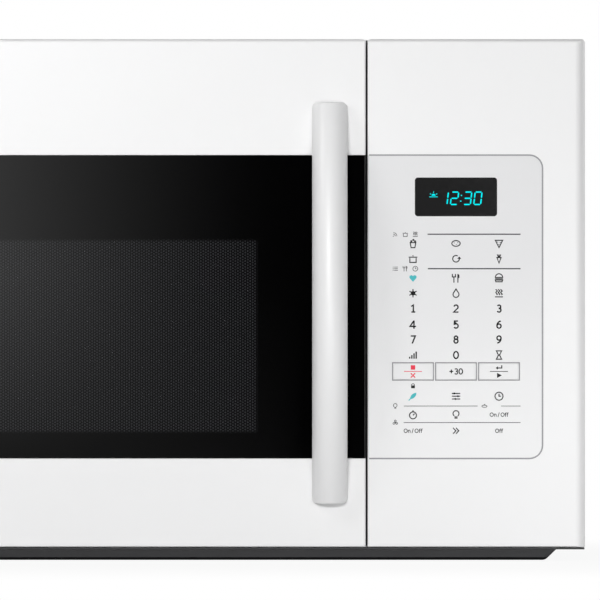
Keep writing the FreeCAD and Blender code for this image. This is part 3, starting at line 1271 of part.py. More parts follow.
def latch_body():
    """Moulded block behind the front plate that takes the latch hooks."""
    span = grown((HOOK_BOTTOMS[0], HOOK_BOTTOMS[1] + LATCH_HOOK_HEIGHT), LATCH_BODY_MARGIN)
    y = (PLATE_BACK, PLATE_BACK + LATCH_BODY_DEPTH)
    body = block(around(LATCH_X, LATCH_BODY_WIDTH), y, span)
    pocket_y = (y[0] - PAST, y[0] + LATCH_HOOK_REACH + 2 * SEAL_GAP)
    return cut(body, *[latch_slot(bottom, pocket_y) for bottom in HOOK_BOTTOMS])


def door_switches():
    """Door switches on the side of the latch body."""
    width, depth, height = SWITCH_SIZE
    x0 = LATCH_X + LATCH_BODY_WIDTH / 2
    y0 = PLATE_BACK + LATCH_BODY_DEPTH - depth
    heights = spaced(HOOK_BOTTOMS[0], HOOK_BOTTOMS[1] + LATCH_HOOK_HEIGHT - height, SWITCH_COUNT)
    switches = [block((x0, x0 + width), (y0, y0 + depth), (z, z + height)) for z in heights]
    return Part.makeCompound(switches)


def hinge(edge, inward):
    """Hinge bracket: a flange on the front plate and a leaf that reaches into the door's pocket."""
    leaf_z = pocket_span(edge, inward, HINGE_LEAF_INSET, HINGE_LEAF_INSET + HINGE_LEAF_THICKNESS)
    flange_y = (PLATE_FRONT - HINGE_FLANGE_THICKNESS, PLATE_FRONT)
    leaf = block(around(HINGE_X, HINGE_LEAF_WIDTH), (HINGE_Y, flange_y[1]), leaf_z)
    nose = rod_z(HINGE_LEAF_WIDTH / 2, HINGE_X, HINGE_Y, leaf_z)
    flange_x = (HINGE_X - HINGE_LEAF_WIDTH / 2, HINGE_X - HINGE_LEAF_WIDTH / 2 + HINGE_FLANGE_WIDTH)
    flange = block(flange_x, flange_y, hinge_flange_span(edge, inward))
    bore = rod_z(HINGE_PIN_RADIUS, HINGE_X, HINGE_Y, grown(leaf_z, PAST))
    holes = [screw_hole(*place) for place in hinge_screw_places()]
    return cut(fused([leaf, nose, flange]), bore, *holes)


def hinge_pins():
    """Two pins riveted in the hinge leaves, which the door turns on."""
    pins = []
    for edge, inward in DOOR_EDGES:
        z = pocket_span(edge, inward, HINGE_LEAF_INSET, HINGE_POCKET_DEPTH + HINGE_PIN_LENGTH - FIT)
        pins.append(rod_z(HINGE_PIN_RADIUS, HINGE_X, HINGE_Y, z))
    return Part.makeCompound(pins)


def arc_radius(half_chord, rise):
    """Radius of the arc with this half chord and this rise."""
    return (half_chord ** 2 + rise ** 2) / (2 * rise)


def handle_bar():
    """Crowned bar that follows the handle's outer bow, with more depth than the handle needs."""
    radius = arc_radius(HANDLE_HALF, HANDLE_REACH - HANDLE_END_HEIGHT)
    outer = FRONT - HANDLE_REACH
    x = around(HANDLE_X, HANDLE_WIDTH)
    side = outer + HANDLE_CROWN
    deep = FRONT + HANDLE_REACH
    start = Vector(x[0], side, HANDLE_MID)
    end = Vector(x[1], side, HANDLE_MID)
    crown = Part.Arc(start, Vector(HANDLE_X, outer, HANDLE_MID), end).toShape()
    feet = [Vector(x[1], deep, HANDLE_MID), Vector(x[0], deep, HANDLE_MID)]
    walls = Part.makePolygon([end] + feet + [start])
    section = Part.Face(Part.Wire([crown] + walls.Edges))
    centre = Vector(HANDLE_X, outer + radius, HANDLE_MID)
    sweep = 2 * math.degrees(math.asin(HANDLE_HALF / radius)) + 10
    section.rotate(centre, Vector(1, 0, 0), -sweep / 2)
    return section.revolve(centre, Vector(1, 0, 0), sweep)


def handle_outline():
    """Front view of the handle as a block: slightly bowed ends and rounded corners."""
    x = around(HANDLE_X, HANDLE_WIDTH)
    low = HANDLE_Z[0] + HANDLE_END_BOW
    high = HANDLE_Z[1] - HANDLE_END_BOW
    lower = [Vector(side, FRONT, low) for side in x]
    upper = [Vector(side, FRONT, high) for side in x]
    bottom = Part.Arc(lower[0], Vector(HANDLE_X, FRONT, HANDLE_Z[0]), lower[1]).toShape()
    right = Part.LineSegment(lower[1], upper[1]).toShape()
    top = Part.Arc(upper[1], Vector(HANDLE_X, FRONT, HANDLE_Z[1]), upper[0]).toShape()
    left = Part.LineSegment(upper[0], lower[0]).toShape()
    reach = HANDLE_REACH + PAST
    body = Part.Face(Part.Wire([bottom, right, top, left])).extrude(Vector(0, -reach, 0))
    uprights = edges_where(body, lambda p: abs(p.y - FRONT + reach / 2) < TOUCH)
    return body.makeFillet(HANDLE_CORNER, uprights)


def door_handle():
    """Bowed bar handle whose two ends rest on the door."""
    handle = handle_bar().common(handle_outline())
    ends = edges_where(
        handle, lambda p: p.y < FRONT - TOUCH and abs(p.z - HANDLE_MID) > HANDLE_HALF - HANDLE_CORNER
    )
    rims = [edge for edge in ends if edge.Curve.TypeId != "Part::GeomLine"]
    handle = handle.makeFillet(HANDLE_EDGE_ROUND, rims)
    rise = HANDLE_REACH - HANDLE_THICKNESS
    radius = arc_radius(HANDLE_HALF - HANDLE_FOOT, rise)
    centre_y = FRONT - rise + radius
    gap = rod_x(radius, around(HANDLE_X, HANDLE_WIDTH + 2 * PAST), centre_y, HANDLE_MID)
    hole_y = (FRONT - HANDLE_SCREW_DEPTH, FRONT + PAST)
    holes = [rod_y(SCREW_RADIUS, HANDLE_X, hole_y, z) for z in HANDLE_SCREW_Z]
    return cut(handle, gap, *holes)


# Turntable


def turned(points):
    """Solid turned about the turntable's axis from (radius, height) corners."""
    corners = [Vector(TRAY_X + radius, TRAY_Y, height) for radius, height in points]
    face = Part.Face(Part.makePolygon(corners + corners[:1]))
    return face.revolve(Vector(TRAY_X, TRAY_Y, 0), Vector(0, 0, 1), 360)


def glass_tray():
    """Glass turntable with a raised rim."""
    flat = TRAY_RADIUS - TRAY_RIM_WIDTH
    top = TRAY_BOTTOM + TRAY_THICKNESS
    return turned([
        (0, TRAY_BOTTOM),
        (flat, TRAY_BOTTOM),
        (TRAY_RADIUS, TRAY_BOTTOM + TRAY_RIM_RISE),
        (TRAY_RADIUS, top + TRAY_RIM_RISE),
        (flat, top),
        (0, top),
    ])


def turntable_coupler():
    """Three-winged coupler under the tray, with the stem that the motor drives."""
    wing_z = (CAVITY_FLOOR + WHEEL_RADIUS, TRAY_BOTTOM)
    hub = rod_z(COUPLER_HUB_RADIUS, TRAY_X, TRAY_Y, wing_z)
    stem_end = CAVITY_FLOOR - SHEET - DRIVE_BORE_DEPTH + FIT
    stem = rod_z(COUPLER_STEM_RADIUS, TRAY_X, TRAY_Y, (stem_end, wing_z[0]))
    wings = []
    for i in range(WHEEL_COUNT):
        wing = block((TRAY_X, TRAY_X + COUPLER_WING_LENGTH), around(TRAY_Y, COUPLER_WING_WIDTH), wing_z)
        wing.rotate(Vector(TRAY_X, TRAY_Y, 0), Vector(0, 0, 1), 360 * i / WHEEL_COUNT)
        wings.append(wing)
    return fused([hub, stem] + wings)


def turntable_motor():
    """Drive motor under the cavity floor."""
    top = CAVITY_FLOOR - SHEET
    body = rod_z(DRIVE_MOTOR_RADIUS, TRAY_X, TRAY_Y, (top - DRIVE_MOTOR_HEIGHT, top))
    bore_z = (top - DRIVE_BORE_DEPTH, top + PAST)
    return body.cut(rod_z(COUPLER_STEM_RADIUS + RUNNING_FIT, TRAY_X, TRAY_Y, bore_z))


def wheel_angle(index):
    """Direction of one roller from the turntable's axis, in degrees."""
    return 90 + 360 * index / WHEEL_COUNT


def radial_rod(radius, index, near, far):
    """Round bar along one roller's axle between two distances from the turntable's axis."""
    bar = rod_x(radius, (TRAY_X + near, TRAY_X + far), TRAY_Y, AXLE_HEIGHT)
    bar.rotate(Vector(TRAY_X, TRAY_Y, 0), Vector(0, 0, 1), wheel_angle(index))
    return bar


def roller_ring():
    """Ring under the tray with an axle for each roller."""
    z = around(AXLE_HEIGHT, RING_THICKNESS)
    inner = RING_RADIUS - RING_WIDTH
    ring = turned([(inner, z[0]), (RING_RADIUS, z[0]), (RING_RADIUS, z[1]), (inner, z[1])])
    far = WHEEL_START + WHEEL_WIDTH + FIT
    axles = [radial_rod(AXLE_RADIUS, i, RING_RADIUS - RING_WIDTH / 2, far) for i in range(WHEEL_COUNT)]
    return fused([ring] + axles)


def roller_wheel(index):
    """Roller that runs between the cavity floor and the tray."""
    span = (WHEEL_START, WHEEL_START + WHEEL_WIDTH)
    bore = radial_rod(AXLE_RADIUS + RUNNING_FIT, index, *grown(span, PAST))
    return radial_rod(WHEEL_RADIUS, index, *span).cut(bore)


# The whole object


def screws(places, length=SCREW_LENGTH):
    """One group of like screws."""
    return Part.makeCompound([screw(*place, length) for place in places])


def all_parts():
    """Every piece by its name."""
    stop, add_time, start = key_places()
    filter_left, filter_right = filter_places()
    parts = {
        "outer_case": outer_case(),
        "cabinet_brackets": cabinet_brackets(),
        "rear_panel": rear_panel(),
        "wall_plate": wall_plate(),
        "base_pan": base_pan(),
        "grease_filter_left": grease_filter(filter_left),
        "grease_filter_right": grease_filter(filter_right),
        "lamp_cover": lamp_cover(),
        "cooktop_lamp": cooktop_lamp(),
        "front_plate": front_plate(),
        "compartment_floor": compartment_floor(),
        "cavity_liner": cavity_liner(),
        "oven_lamp": oven_lamp(),
        "wave_cover": wave_cover(),
        "waveguide": waveguide(),
        "magnetron": magnetron(),
        "hv_transformer": hv_transformer(),
        "hv_capacitor": hv_capacitor(),
        "cooling_shroud": cooling_shroud(),
        "cooling_motor": cooling_motor(),
        "cooling_fan": cooling_fan(),
        "blower_housings": blower_housings(),
        "blower_motor": blower_motor(),
        "blower_wheels": blower_wheels(),
        "blower_shaft": blower_shaft(),
        "vent_grille": vent_grille(),
        "charcoal_filter": charcoal_filter(),
        "cord_bush": cord_bush(),
        "control_panel": control_panel(),
        "keypad_film": keypad_film(),
        "display_lens": display_lens(),
        "display_module": display_module(),
        "key_stop": framed_key(stop),
        "key_add_time": framed_key(add_time),
        "key_start": framed_key(start),
        "control_board": control_board(),
        "door_frame": door_frame(),
        "door_glass": door_glass(),
        "door_pan": door_pan(),
        "door_screen": door_screen(),
        "door_inner_sheet": door_inner_sheet(),
        "choke_cover": choke_cover(),
        "door_back_cover": door_back_cover(),
        "door_handle": door_handle(),
        "latch_hooks": latch_hooks(),
        "latch_body": latch_body(),
        "door_switches": door_switches(),
        "upper_hinge": hinge(*DOOR_EDGES[0]),
        "lower_hinge": hinge(*DOOR_EDGES[1]),
        "hinge_pins": hinge_pins(),
        "glass_tray": glass_tray(),
        "turntable_coupler": turntable_coupler(),
        "turntable_motor": turntable_motor(),
        "roller_ring": roller_ring(),
        "case_screws": screws(rear_screw_places() + base_screw_places()),
        "hinge_screws": screws(hinge_screw_places()),
        "handle_screws": screws(handle_screw_places(), MOULDED_WALL + HANDLE_SCREW_DEPTH - FIT),
    }
    for index in range(WHEEL_COUNT):
        parts[f"roller_wheel_{index + 1}"] = roller_wheel(index)
    return parts


def main():
    """Writes one STEP file for each piece."""
    os.makedirs("parts", exist_ok=True)
    for name, shape in all_parts().items():
        if not shape.isValid() or shape.Volume <= 0:
            print("not a valid solid:", name)
        shape.exportStep(f"parts/{name}.step")


if __name__ == "__main__":
    main()
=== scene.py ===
import json
import math

import bmesh
import bpy
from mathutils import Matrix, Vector


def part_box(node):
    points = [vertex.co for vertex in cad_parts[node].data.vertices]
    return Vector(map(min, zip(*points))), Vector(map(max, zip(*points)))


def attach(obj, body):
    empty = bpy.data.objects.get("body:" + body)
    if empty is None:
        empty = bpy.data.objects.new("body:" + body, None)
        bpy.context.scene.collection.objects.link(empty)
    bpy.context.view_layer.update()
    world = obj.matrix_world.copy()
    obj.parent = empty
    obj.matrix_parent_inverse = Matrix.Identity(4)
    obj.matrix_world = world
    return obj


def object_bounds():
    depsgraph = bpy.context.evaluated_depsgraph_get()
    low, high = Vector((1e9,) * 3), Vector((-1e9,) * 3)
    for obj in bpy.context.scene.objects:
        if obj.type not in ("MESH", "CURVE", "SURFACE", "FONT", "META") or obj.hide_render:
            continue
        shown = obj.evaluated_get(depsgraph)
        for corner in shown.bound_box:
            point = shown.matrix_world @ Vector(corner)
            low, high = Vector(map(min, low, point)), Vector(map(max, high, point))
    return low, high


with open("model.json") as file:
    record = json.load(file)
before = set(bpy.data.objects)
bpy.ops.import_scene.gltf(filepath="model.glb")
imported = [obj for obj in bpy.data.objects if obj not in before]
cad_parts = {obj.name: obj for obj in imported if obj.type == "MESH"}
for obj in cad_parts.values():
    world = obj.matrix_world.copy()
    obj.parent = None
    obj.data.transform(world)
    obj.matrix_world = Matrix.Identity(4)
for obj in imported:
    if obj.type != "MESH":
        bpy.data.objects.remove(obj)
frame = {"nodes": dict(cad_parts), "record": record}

CAD_LOW, CAD_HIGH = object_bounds()
NODES = frame["nodes"]

# Printed marks, in metres
INK = 0.00005
LINE = 0.0009
FINE_LINE = 0.00055
RULE = 0.0010
ICON_SIZE = 0.0072
SMALL_ICON_SIZE = 0.0044
DIGIT_HEIGHT = 0.0068
DIGIT_LINE = 0.0012
KEY_FIGURE_HEIGHT = 0.0052
KEY_FIGURE_LINE = 0.0009
KEY_SIGN_BAR = 0.015
KEY_SIGN_SIZE = 0.0046
KEY_SIGN_OFFSET = 0.0033
WORD_HEIGHT = 0.0034
WORD_LINE = 0.0006

# How finely the pen draws a circle or an arc, and how far it lets a bend's corner reach
FULL_TURN = 360.0
CIRCLE_POINTS = 28
FEWEST_ARC_POINTS = 4
LEAST_MITRE = 0.5

# Keypad film, the grey painted shade at its edge and round the keys, and the near black strip of painted
# shade in the gap beside the door, in metres
FILM_EDGE_SHADE = 0.0012
FILM_CORNER = 0.0107
EDGE_SHADE_OUTSET = 0.0002
EDGE_SHADE_END_INSET = 0.0008
PANEL_EDGE_ROUND = 0.0012
FILM_FADE_BELOW_TOP = 0.07
KEY_FLANGE = 0.001
KEY_GAP_SHADE = 0.0008
KEY_GAP_SHADE_OUTSET = 0.0006
# Strip of painted shade in the gap beside the door
GAP_SHADE_WIDTH = 0.0012
GAP_SHADE_SETBACK = 0.0016
GAP_SHADE_ROUND = 0.0003
GAP_SHADE_ROUND_STEPS = 3
GAP_SHADE_END_MARGIN = 0.001

# Clock, in metres; the slant and the colon's dots are shares of its height
CLOCK_HEIGHT = 0.0103
CLOCK_WIDTH = 0.0057
CLOCK_STEP = 0.0085
CLOCK_INNER_STEP = 0.00545
CLOCK_SLANT = 0.115
COLON_DOTS = (0.27, 0.73)
SEGMENT_WIDTH = 0.0011
SEGMENT_GAP = 0.00025
MORNING_SIGN_SIZE = 0.0058

# Window in the door glass: the perforated steel shows through it as a field of paler dots
DOT_PITCH = 0.00237
DOT_COLUMN = 0.00205
WINDOW_FADE = 0.004

# A dot's radius and how softly it ends on either side of it, as shares of the pitch
DOT_RADIUS = 0.36
DOT_FADE_INSIDE = 0.12
DOT_FADE_OUTSIDE = 0.06

# Base pan: its charcoal painted wall lies between the edge where it turns under and its flange; that
# edge and the flange get near black painted shade
PAN_WALL_LOW = 0.0024
PAN_WALL_HIGH = 0.0087
PAN_WALL_FADE = 0.0005

# Between these upward parts of its normal, a face of the pan stops being underside; the underside keeps
# the charcoal, free of painted shade
PAN_UNDERSIDE_FACING = (-0.98, -0.95)

# Net of the grease filters, in metres
NET_PITCH = 0.008
NET_STRAND = 0.0009
NET_MARGIN = 0.0085
NET_LIFT = 0.0004

# Photo's frame, 600 by 600 pixels: a pixel's size in metres, and places in pixels
PIXEL = 0.0008317
PHOTO_MIDDLE = (299.9, 299.95)
PHOTO_RIGHT = 584.5
PHOTO_BASE = 560.25
CLOCK_PLACE = (460.7, 198.4)
MORNING_SIGN = (433.2, 194.9)

# Keypad rows in the photo's frame, from the top
SENSOR_HEADING = 234.3
SENSOR_ROW = 243.5
REHEAT_ROW = 258.8
PRESET_HEADING = 268.7
MEAL_ROW = 278.3
DEFROST_ROW = 293.2
FIGURE_ROWS = (308.5, 324.5, 339.4)
ZERO_ROW = 354.9
LOCK_ROW = 385.5
OPTION_ROW = 396.0
LIGHT_HEADING = 405.8
LIGHT_ROW = 414.4
FAN_HEADING = 422.3
FAN_ROW = 430.5

# Keypad headings and their rules in the photo's frame, from the left
HEADING_LEFT = 395.0
TRAY_HEADING_LEFT = 484.0
HEADING_STEP = 10.0
SENSOR_RULE_LEFT = 427.2
PRESET_RULE_LEFT = 427.6
LIGHT_RULE_LEFT = 403.6
LIGHT_RULE_RIGHT = 477.2
TRAY_RULE_LEFT = 500.6
FAN_RULE_LEFT = 403.4
RULE_RIGHT = 520.0

# Camera: distance and width of the frame at the door in metres, sensor in millimetres
CAMERA_DISTANCE = 12.0
CAMERA_REACH = 100.0
FRAME_WIDTH = 0.4981
SENSOR = 36.0

# Floor: distances in metres from its middle, and its glow near the object
FLOOR_RADIUS = 3.5
FLOOR_POINTS = 96
FLOOR_GLOW = 0.92
FLOOR_GLOW_START = 0.45
FLOOR_GLOW_END = 1.1
FLOOR_MIRROR_END = 1.5

# World: light from all round, and the soft box that a mirror sees behind the camera, by direction
AMBIENT = 0.1
SOFT_BOX_ACROSS = (-0.0235, 0.0)
SOFT_BOX_RISE = (-0.012, 0.002)
SOFT_BOX_EDGE = (-0.95, -0.8)
SOFT_BOX_UPPER_FALL = 2.0
SOFT_BOX_LOWER_FALL = 0.5
SOFT_BOX_LOWER_LEVEL = 0.20

# Lamps: place, the point that each one aims at, its width and height, and its power in watts
FRONT_AIM = (0.1, -0.2, 0.22)
REAR_AIM = (0.0, 0.1, 0.2)
LAMPS = {
    "key_light": ((-0.55, -4.4, 1.05), FRONT_AIM, (0.9, 0.5), 56.0),
    "front_light": ((0.15, -4.4, 1.25), FRONT_AIM, (2.4, 1.2), 28.7),
    "fill_light": ((0.95, -4.6, 0.3), FRONT_AIM, (0.9, 0.9), 7.5),
    "left_light": ((-0.55, -0.75, 0.75), (-0.2, -0.18, 0.38), (0.3, 0.3), 2.25),
    "low_light": ((0.5, -2.3, 0.025), (0.3, -0.2, 0.1), (1.2, 0.04), 6.6),
    "corner_light": ((0.55, -0.48, 0.1), (0.36, -0.2, 0.06), (0.2, 0.14), 0.21),
    "rear_left_light": ((-2.6, 1.6, 1.1), REAR_AIM, (1.0, 1.0), 38.0),
    "rear_right_light": ((2.6, 1.6, 1.1), REAR_AIM, (1.0, 1.0), 38.0),
}

# Materials: scale of the slow drift in their colour, and the mix node's sockets for colours
DRIFT_SCALE = 9.0
MIX_COLOURS = slice(6, 8)
MIX_RESULT = 2


# Procedural materials

class Nodes:
    """A node tree and the coordinates that its patterns use."""

    def __init__(self, tree, coordinates):
        self.tree = tree
        self.place = self.node("TexCoord").outputs[coordinates]

    def node(self, kind, **settings):
        made = self.tree.nodes.new("ShaderNode" + kind)
        for name, value in settings.items():
            setattr(made, name, value)
        return made

    def feed(self, socket, source):
        """Joins an output to an input, or sets a plain number on it."""
        if isinstance(source, bpy.types.NodeSocket):
            self.tree.links.new(source, socket)
        else:
            socket.default_value = source

    def math(self, operation, *sources):
        made = self.node("Math", operation=operation)
        for socket, source in zip(made.inputs, sources):
            self.feed(socket, source)
        return made.outputs[0]

    def axes(self, place=None):
        """The three parts of a place or a direction."""
        made = self.node("SeparateXYZ")
        self.feed(made.inputs[0], place or self.place)
        return made.outputs

    def spread(self, source, low, high, start=0.25, end=0.75, curve="SMOOTHSTEP"):
        """Maps a value from start-end onto low-high."""
        made = self.node("MapRange", interpolation_type=curve)
        for socket, value in zip(("From Min", "From Max", "To Min", "To Max"), (start, end, low, high)):
            made.inputs[socket].default_value = value
        self.feed(made.inputs["Value"], source)
        return made.outputs[0]

    def seen(self):
        """One where the camera looks, also through clear pieces, and otherwise nought."""
        path = self.node("LightPath").outputs
        return self.math("MAXIMUM", path["Is Camera Ray"], path["Is Transmission Ray"])

    def mirrored(self):
        """One where a glossy surface looks, and otherwise nought."""
        return self.node("LightPath").outputs["Is Glossy Ray"]

    def mixed(self, share, first, second):
        """Mixes two shaders."""
        made = self.node("MixShader")
        for socket, source in zip(made.inputs, (share, first, second)):
            self.feed(socket, source)
        return made.outputs[0]

    def light(self, kind, strength):
        """White light from a background or an emission shader."""
        made = self.node(kind)
        made.inputs["Color"].default_value = (1.0, 1.0, 1.0, 1.0)
        self.feed(made.inputs["Strength"], strength)
        return made.outputs[0]


class Shader(Nodes):
    """One material: a Principled shader and the nodes that feed it."""

    def __init__(self, name, **constants):
        self.material = bpy.data.materials.new(name)
        self.material.use_nodes = True
        super().__init__(self.material.node_tree, "Object")
        self.bsdf = self.tree.nodes["Principled BSDF"]
        for socket, value in constants.items():
            self.bsdf.inputs[socket.replace("_", " ")].default_value = value

    def stretched(self, scale):
        """The object's own coordinates, scaled differently along each axis."""
        made = self.node("Mapping")
        made.inputs["Scale"].default_value = scale
        self.feed(made.inputs["Vector"], self.place)
        return made.outputs[0]

    def noise(self, scale, detail=3.0, place=None):
        made = self.node("TexNoise")
        made.inputs["Scale"].default_value = scale
        made.inputs["Detail"].default_value = detail
        self.feed(made.inputs["Vector"], place or self.place)
        return made.outputs["Fac"]

    def cells(self, scale, feature="F1", output="Distance"):
        made = self.node("TexVoronoi", feature=feature)
        made.inputs["Scale"].default_value = scale
        self.feed(made.inputs["Vector"], self.place)
        return made.outputs[output]

    def patches(self, scale):
        """Two random values for each patch of a pattern of cells."""
        made = self.node("SeparateColor")
        self.feed(made.inputs[0], self.cells(scale, output="Color"))
        return made.outputs[0], made.outputs[1]

    def waves(self, scale, axis):
        made = self.node("TexWave", bands_direction=axis)
        made.inputs["Scale"].default_value = scale
        made.inputs["Distortion"].default_value = 0.0
        self.feed(made.inputs["Vector"], self.place)
        return made.outputs["Fac"]

    def blend(self, share, first, second):
        """Mixes two colours, each an output or three numbers."""
        made = self.node("Mix", data_type="RGBA")
        self.feed(made.inputs[0], share)
        for socket, source in zip(made.inputs[MIX_COLOURS], (first, second)):
            self.feed(socket, source if isinstance(source, bpy.types.NodeSocket) else (*source, 1.0))
        return made.outputs[MIX_RESULT]

    def length(self, x, y):
        """How far a place is from the middle."""
        squares = self.math("ADD", self.math("MULTIPLY", x, x), self.math("MULTIPLY", y, y))
        return self.math("SQRT", squares)

    def between(self, value, low, high, fade):
        """One from low to high, with soft ends that reach a fade to either side."""
        above = self.spread(value, 0.0, 1.0, low - fade, low + fade)
        below = self.spread(value, 1.0, 0.0, high - fade, high + fade)
        return self.math("MULTIPLY", above, below)

    def drifting(self, colour, share):
        """A colour that slowly drifts towards a darker share of it."""
        return self.blend(self.noise(DRIFT_SCALE, detail=2.0), darker(colour, share), colour)

    def colour(self, source):
        self.feed(self.bsdf.inputs["Base Color"], source)

    def roughness(self, source):
        self.feed(self.bsdf.inputs["Roughness"], source)

    def bump(self, height, distance):
        made = self.node("Bump")
        made.inputs["Distance"].default_value = distance
        made.inputs["Strength"].default_value = 1.0
        self.feed(made.inputs["Height"], height)
        self.feed(self.bsdf.inputs["Normal"], made.outputs[0])


def darker(colour, share):
    return tuple(part * share for part in colour)


def moulded(name, colour, roughness, grain=1400.0, depth=0.00002, mottle=0.97, **constants):
    """Moulded plastic or paint: fine surface grain, slow colour drift and uneven gloss."""
    shader = Shader(name, **constants)
    shader.colour(shader.drifting(colour, mottle))
    fine = shader.noise(grain, detail=2.0)
    shader.roughness(shader.spread(fine, roughness * 0.85, roughness * 1.15))
    shader.bump(fine, depth)
    return shader.material


def pan_paint_and_shade(name, colour, painted_shade_colour):
    """Charcoal paint, with near black painted shade on the pan's flange and where its wall turns under.
    """
    shader = Shader(name, Specular_IOR_Level=0.25)
    # Where neither the wall mask nor the underside holds, the colour is near black painted shade.
    wall = shader.between(shader.axes()[2], PAN_WALL_LOW, PAN_WALL_HIGH, PAN_WALL_FADE)
    upward = shader.axes(shader.node("NewGeometry").outputs["Normal"])[2]
    underside = shader.spread(upward, 1.0, 0.0, *PAN_UNDERSIDE_FACING)
    unshaded = shader.math("MAXIMUM", wall, underside)
    shader.colour(shader.blend(unshaded, painted_shade_colour, shader.drifting(colour, 0.9)))
    fine = shader.noise(900.0, detail=2.0)
    shader.roughness(shader.spread(fine, 0.36, 0.48))
    shader.bump(fine, 0.00005)
    return shader.material


def galvanised(name, colour, roughness):
    """Zinc coated steel sheet with its crystal spangle."""
    shader = Shader(name, Metallic=1.0)
    tone, gloss = shader.patches(150.0)
    shader.colour(shader.blend(tone, darker(colour, 0.88), colour))
    shader.roughness(shader.spread(gloss, roughness * 0.85, roughness * 1.15, 0.0, 1.0))
    shader.bump(shader.noise(700.0), 0.00003)
    return shader.material


def brushed(name, colour, roughness, scale=(30.0, 900.0, 900.0)):
    """Drawn or brushed metal: fine streaks along one axis."""
    shader = Shader(name, Metallic=1.0)
    streaks = shader.noise(1.0, detail=4.0, place=shader.stretched(scale))
    shader.colour(shader.blend(streaks, darker(colour, 0.8), colour))
    shader.roughness(shader.spread(streaks, roughness * 0.7, roughness * 1.3))
    shader.bump(streaks, 0.00002)
    return shader.material


def dot_field(shader, x, z):
    """Columns of round dots, every other column half a pitch higher."""
    column = shader.math("DIVIDE", x, DOT_COLUMN)
    odd = shader.math("FLOORED_MODULO", shader.math("FLOOR", column), 2.0)
    row = shader.math("ADD", shader.math("DIVIDE", z, DOT_PITCH), shader.math("MULTIPLY", odd, 0.5))
    across = shader.math("SUBTRACT", shader.math("FRACT", column), 0.5)
    along = shader.math("SUBTRACT", shader.math("FRACT", row), 0.5)
    reach = shader.length(shader.math("MULTIPLY", across, DOT_COLUMN / DOT_PITCH), along)
    return shader.spread(reach, 1.0, 0.0, DOT_RADIUS - DOT_FADE_INSIDE, DOT_RADIUS + DOT_FADE_OUTSIDE)


def black_glass(window_x, window_z):
    """Glass printed black from behind, with the dots of the perforated screen in its window."""
    shader = Shader("black_glass", IOR=1.5)
    x, _, z = shader.axes()
    shown = dot_field(shader, x, z)
    for value, (low, high) in ((x, window_x), (z, window_z)):
        shown = shader.math("MULTIPLY", shown, shader.between(value, low, high, WINDOW_FADE / 2))
    shade = shader.blend(shader.noise(300.0), (0.0008, 0.0008, 0.0009), (0.0014, 0.0014, 0.0015))
    shader.colour(shader.blend(shown, shade, (0.028, 0.0286, 0.031)))
    shader.roughness(shader.spread(shader.noise(25.0), 0.008, 0.014))
    return shader.material


def perforated(name):
    """Black painted sheet with a close field of round holes."""
    shader = Shader(name)
    holes = shader.spread(shader.cells(1.0 / DOT_PITCH), 1.0, 0.0, 0.28, 0.42)
    shader.colour(shader.blend(holes, (0.035, 0.035, 0.036), (0.004, 0.004, 0.004)))
    shader.roughness(shader.spread(holes, 0.35, 0.6, 0.0, 1.0))
    shader.bump(holes, -0.0003)
    return shader.material


def enamel(name):
    """Baked enamel: pale grey with fine dark flecks."""
    shader = Shader(name, Coat_Weight=0.4)
    flecks = shader.spread(shader.noise(1100.0, detail=1.0), 0.0, 1.0, 0.66, 0.72)
    shader.colour(shader.blend(flecks, (0.56, 0.565, 0.57), (0.22, 0.225, 0.23)))
    ripple = shader.noise(160.0, detail=2.0)
    shader.roughness(shader.spread(ripple, 0.22, 0.34))
    shader.bump(ripple, 0.00008)
    return shader.material


def clear(name, colour, roughness, ripple=60.0):
    """Clear glass and plastic, with a faint ripple in its surface."""
    shader = Shader(name, Transmission_Weight=1.0, IOR=1.49)
    wave = shader.noise(ripple, detail=1.0)
    shader.colour(shader.blend(wave, darker(colour, 0.97), colour))
    shader.roughness(shader.spread(wave, roughness * 0.8, roughness * 1.2))
    shader.bump(wave, 0.00004)
    return shader.material


def ribbed_lens(name):
    """Clear lamp cover with moulded ribs that spread the light."""
    shader = Shader(name, Transmission_Weight=0.85, IOR=1.49)
    ribs = shader.waves(60.0, "X")
    shader.colour(shader.blend(ribs, (0.86, 0.87, 0.87), (0.95, 0.95, 0.94)))
    shader.roughness(shader.spread(ribs, 0.22, 0.4))
    shader.bump(ribs, 0.0004)
    return shader.material


def mica(name):
    """Pressed mica: brown gold flakes."""
    shader = Shader(name)
    tone, gloss = shader.patches(420.0)
    shader.colour(shader.blend(tone, (0.30, 0.21, 0.11), (0.52, 0.40, 0.25)))
    shader.roughness(shader.spread(gloss, 0.25, 0.6, 0.0, 1.0))
    shader.bump(shader.noise(500.0), 0.00006)
    return shader.material


def granular(name, colour):
    """Charcoal granules behind a net."""
    shader = Shader(name)
    grains = shader.cells(330.0)
    shader.colour(shader.blend(grains, colour, darker(colour, 2.6)))
    shader.roughness(shader.spread(grains, 0.6, 0.95))
    shader.bump(grains, -0.0015)
    return shader.material


def circuit(name):
    """Green board with paler copper tracks under its lacquer."""
    shader = Shader(name, Coat_Weight=0.3)
    tracks = shader.spread(shader.cells(130.0, feature="DISTANCE_TO_EDGE"), 1.0, 0.0, 0.04, 0.07)
    shader.colour(shader.blend(tracks, (0.012, 0.085, 0.035), (0.05, 0.20, 0.08)))
    shader.roughness(shader.spread(shader.noise(200.0), 0.3, 0.5))
    shader.bump(tracks, 0.00004)
    return shader.material


def laminated(name):
    """Stacked iron sheets under dark varnish."""
    shader = Shader(name, Metallic=0.7)
    sheets = shader.waves(320.0, "Y")
    shader.colour(shader.blend(sheets, (0.05, 0.045, 0.04), (0.14, 0.12, 0.10)))
    shader.roughness(shader.spread(shader.noise(90.0), 0.35, 0.6))
    shader.bump(sheets, 0.0002)
    return shader.material


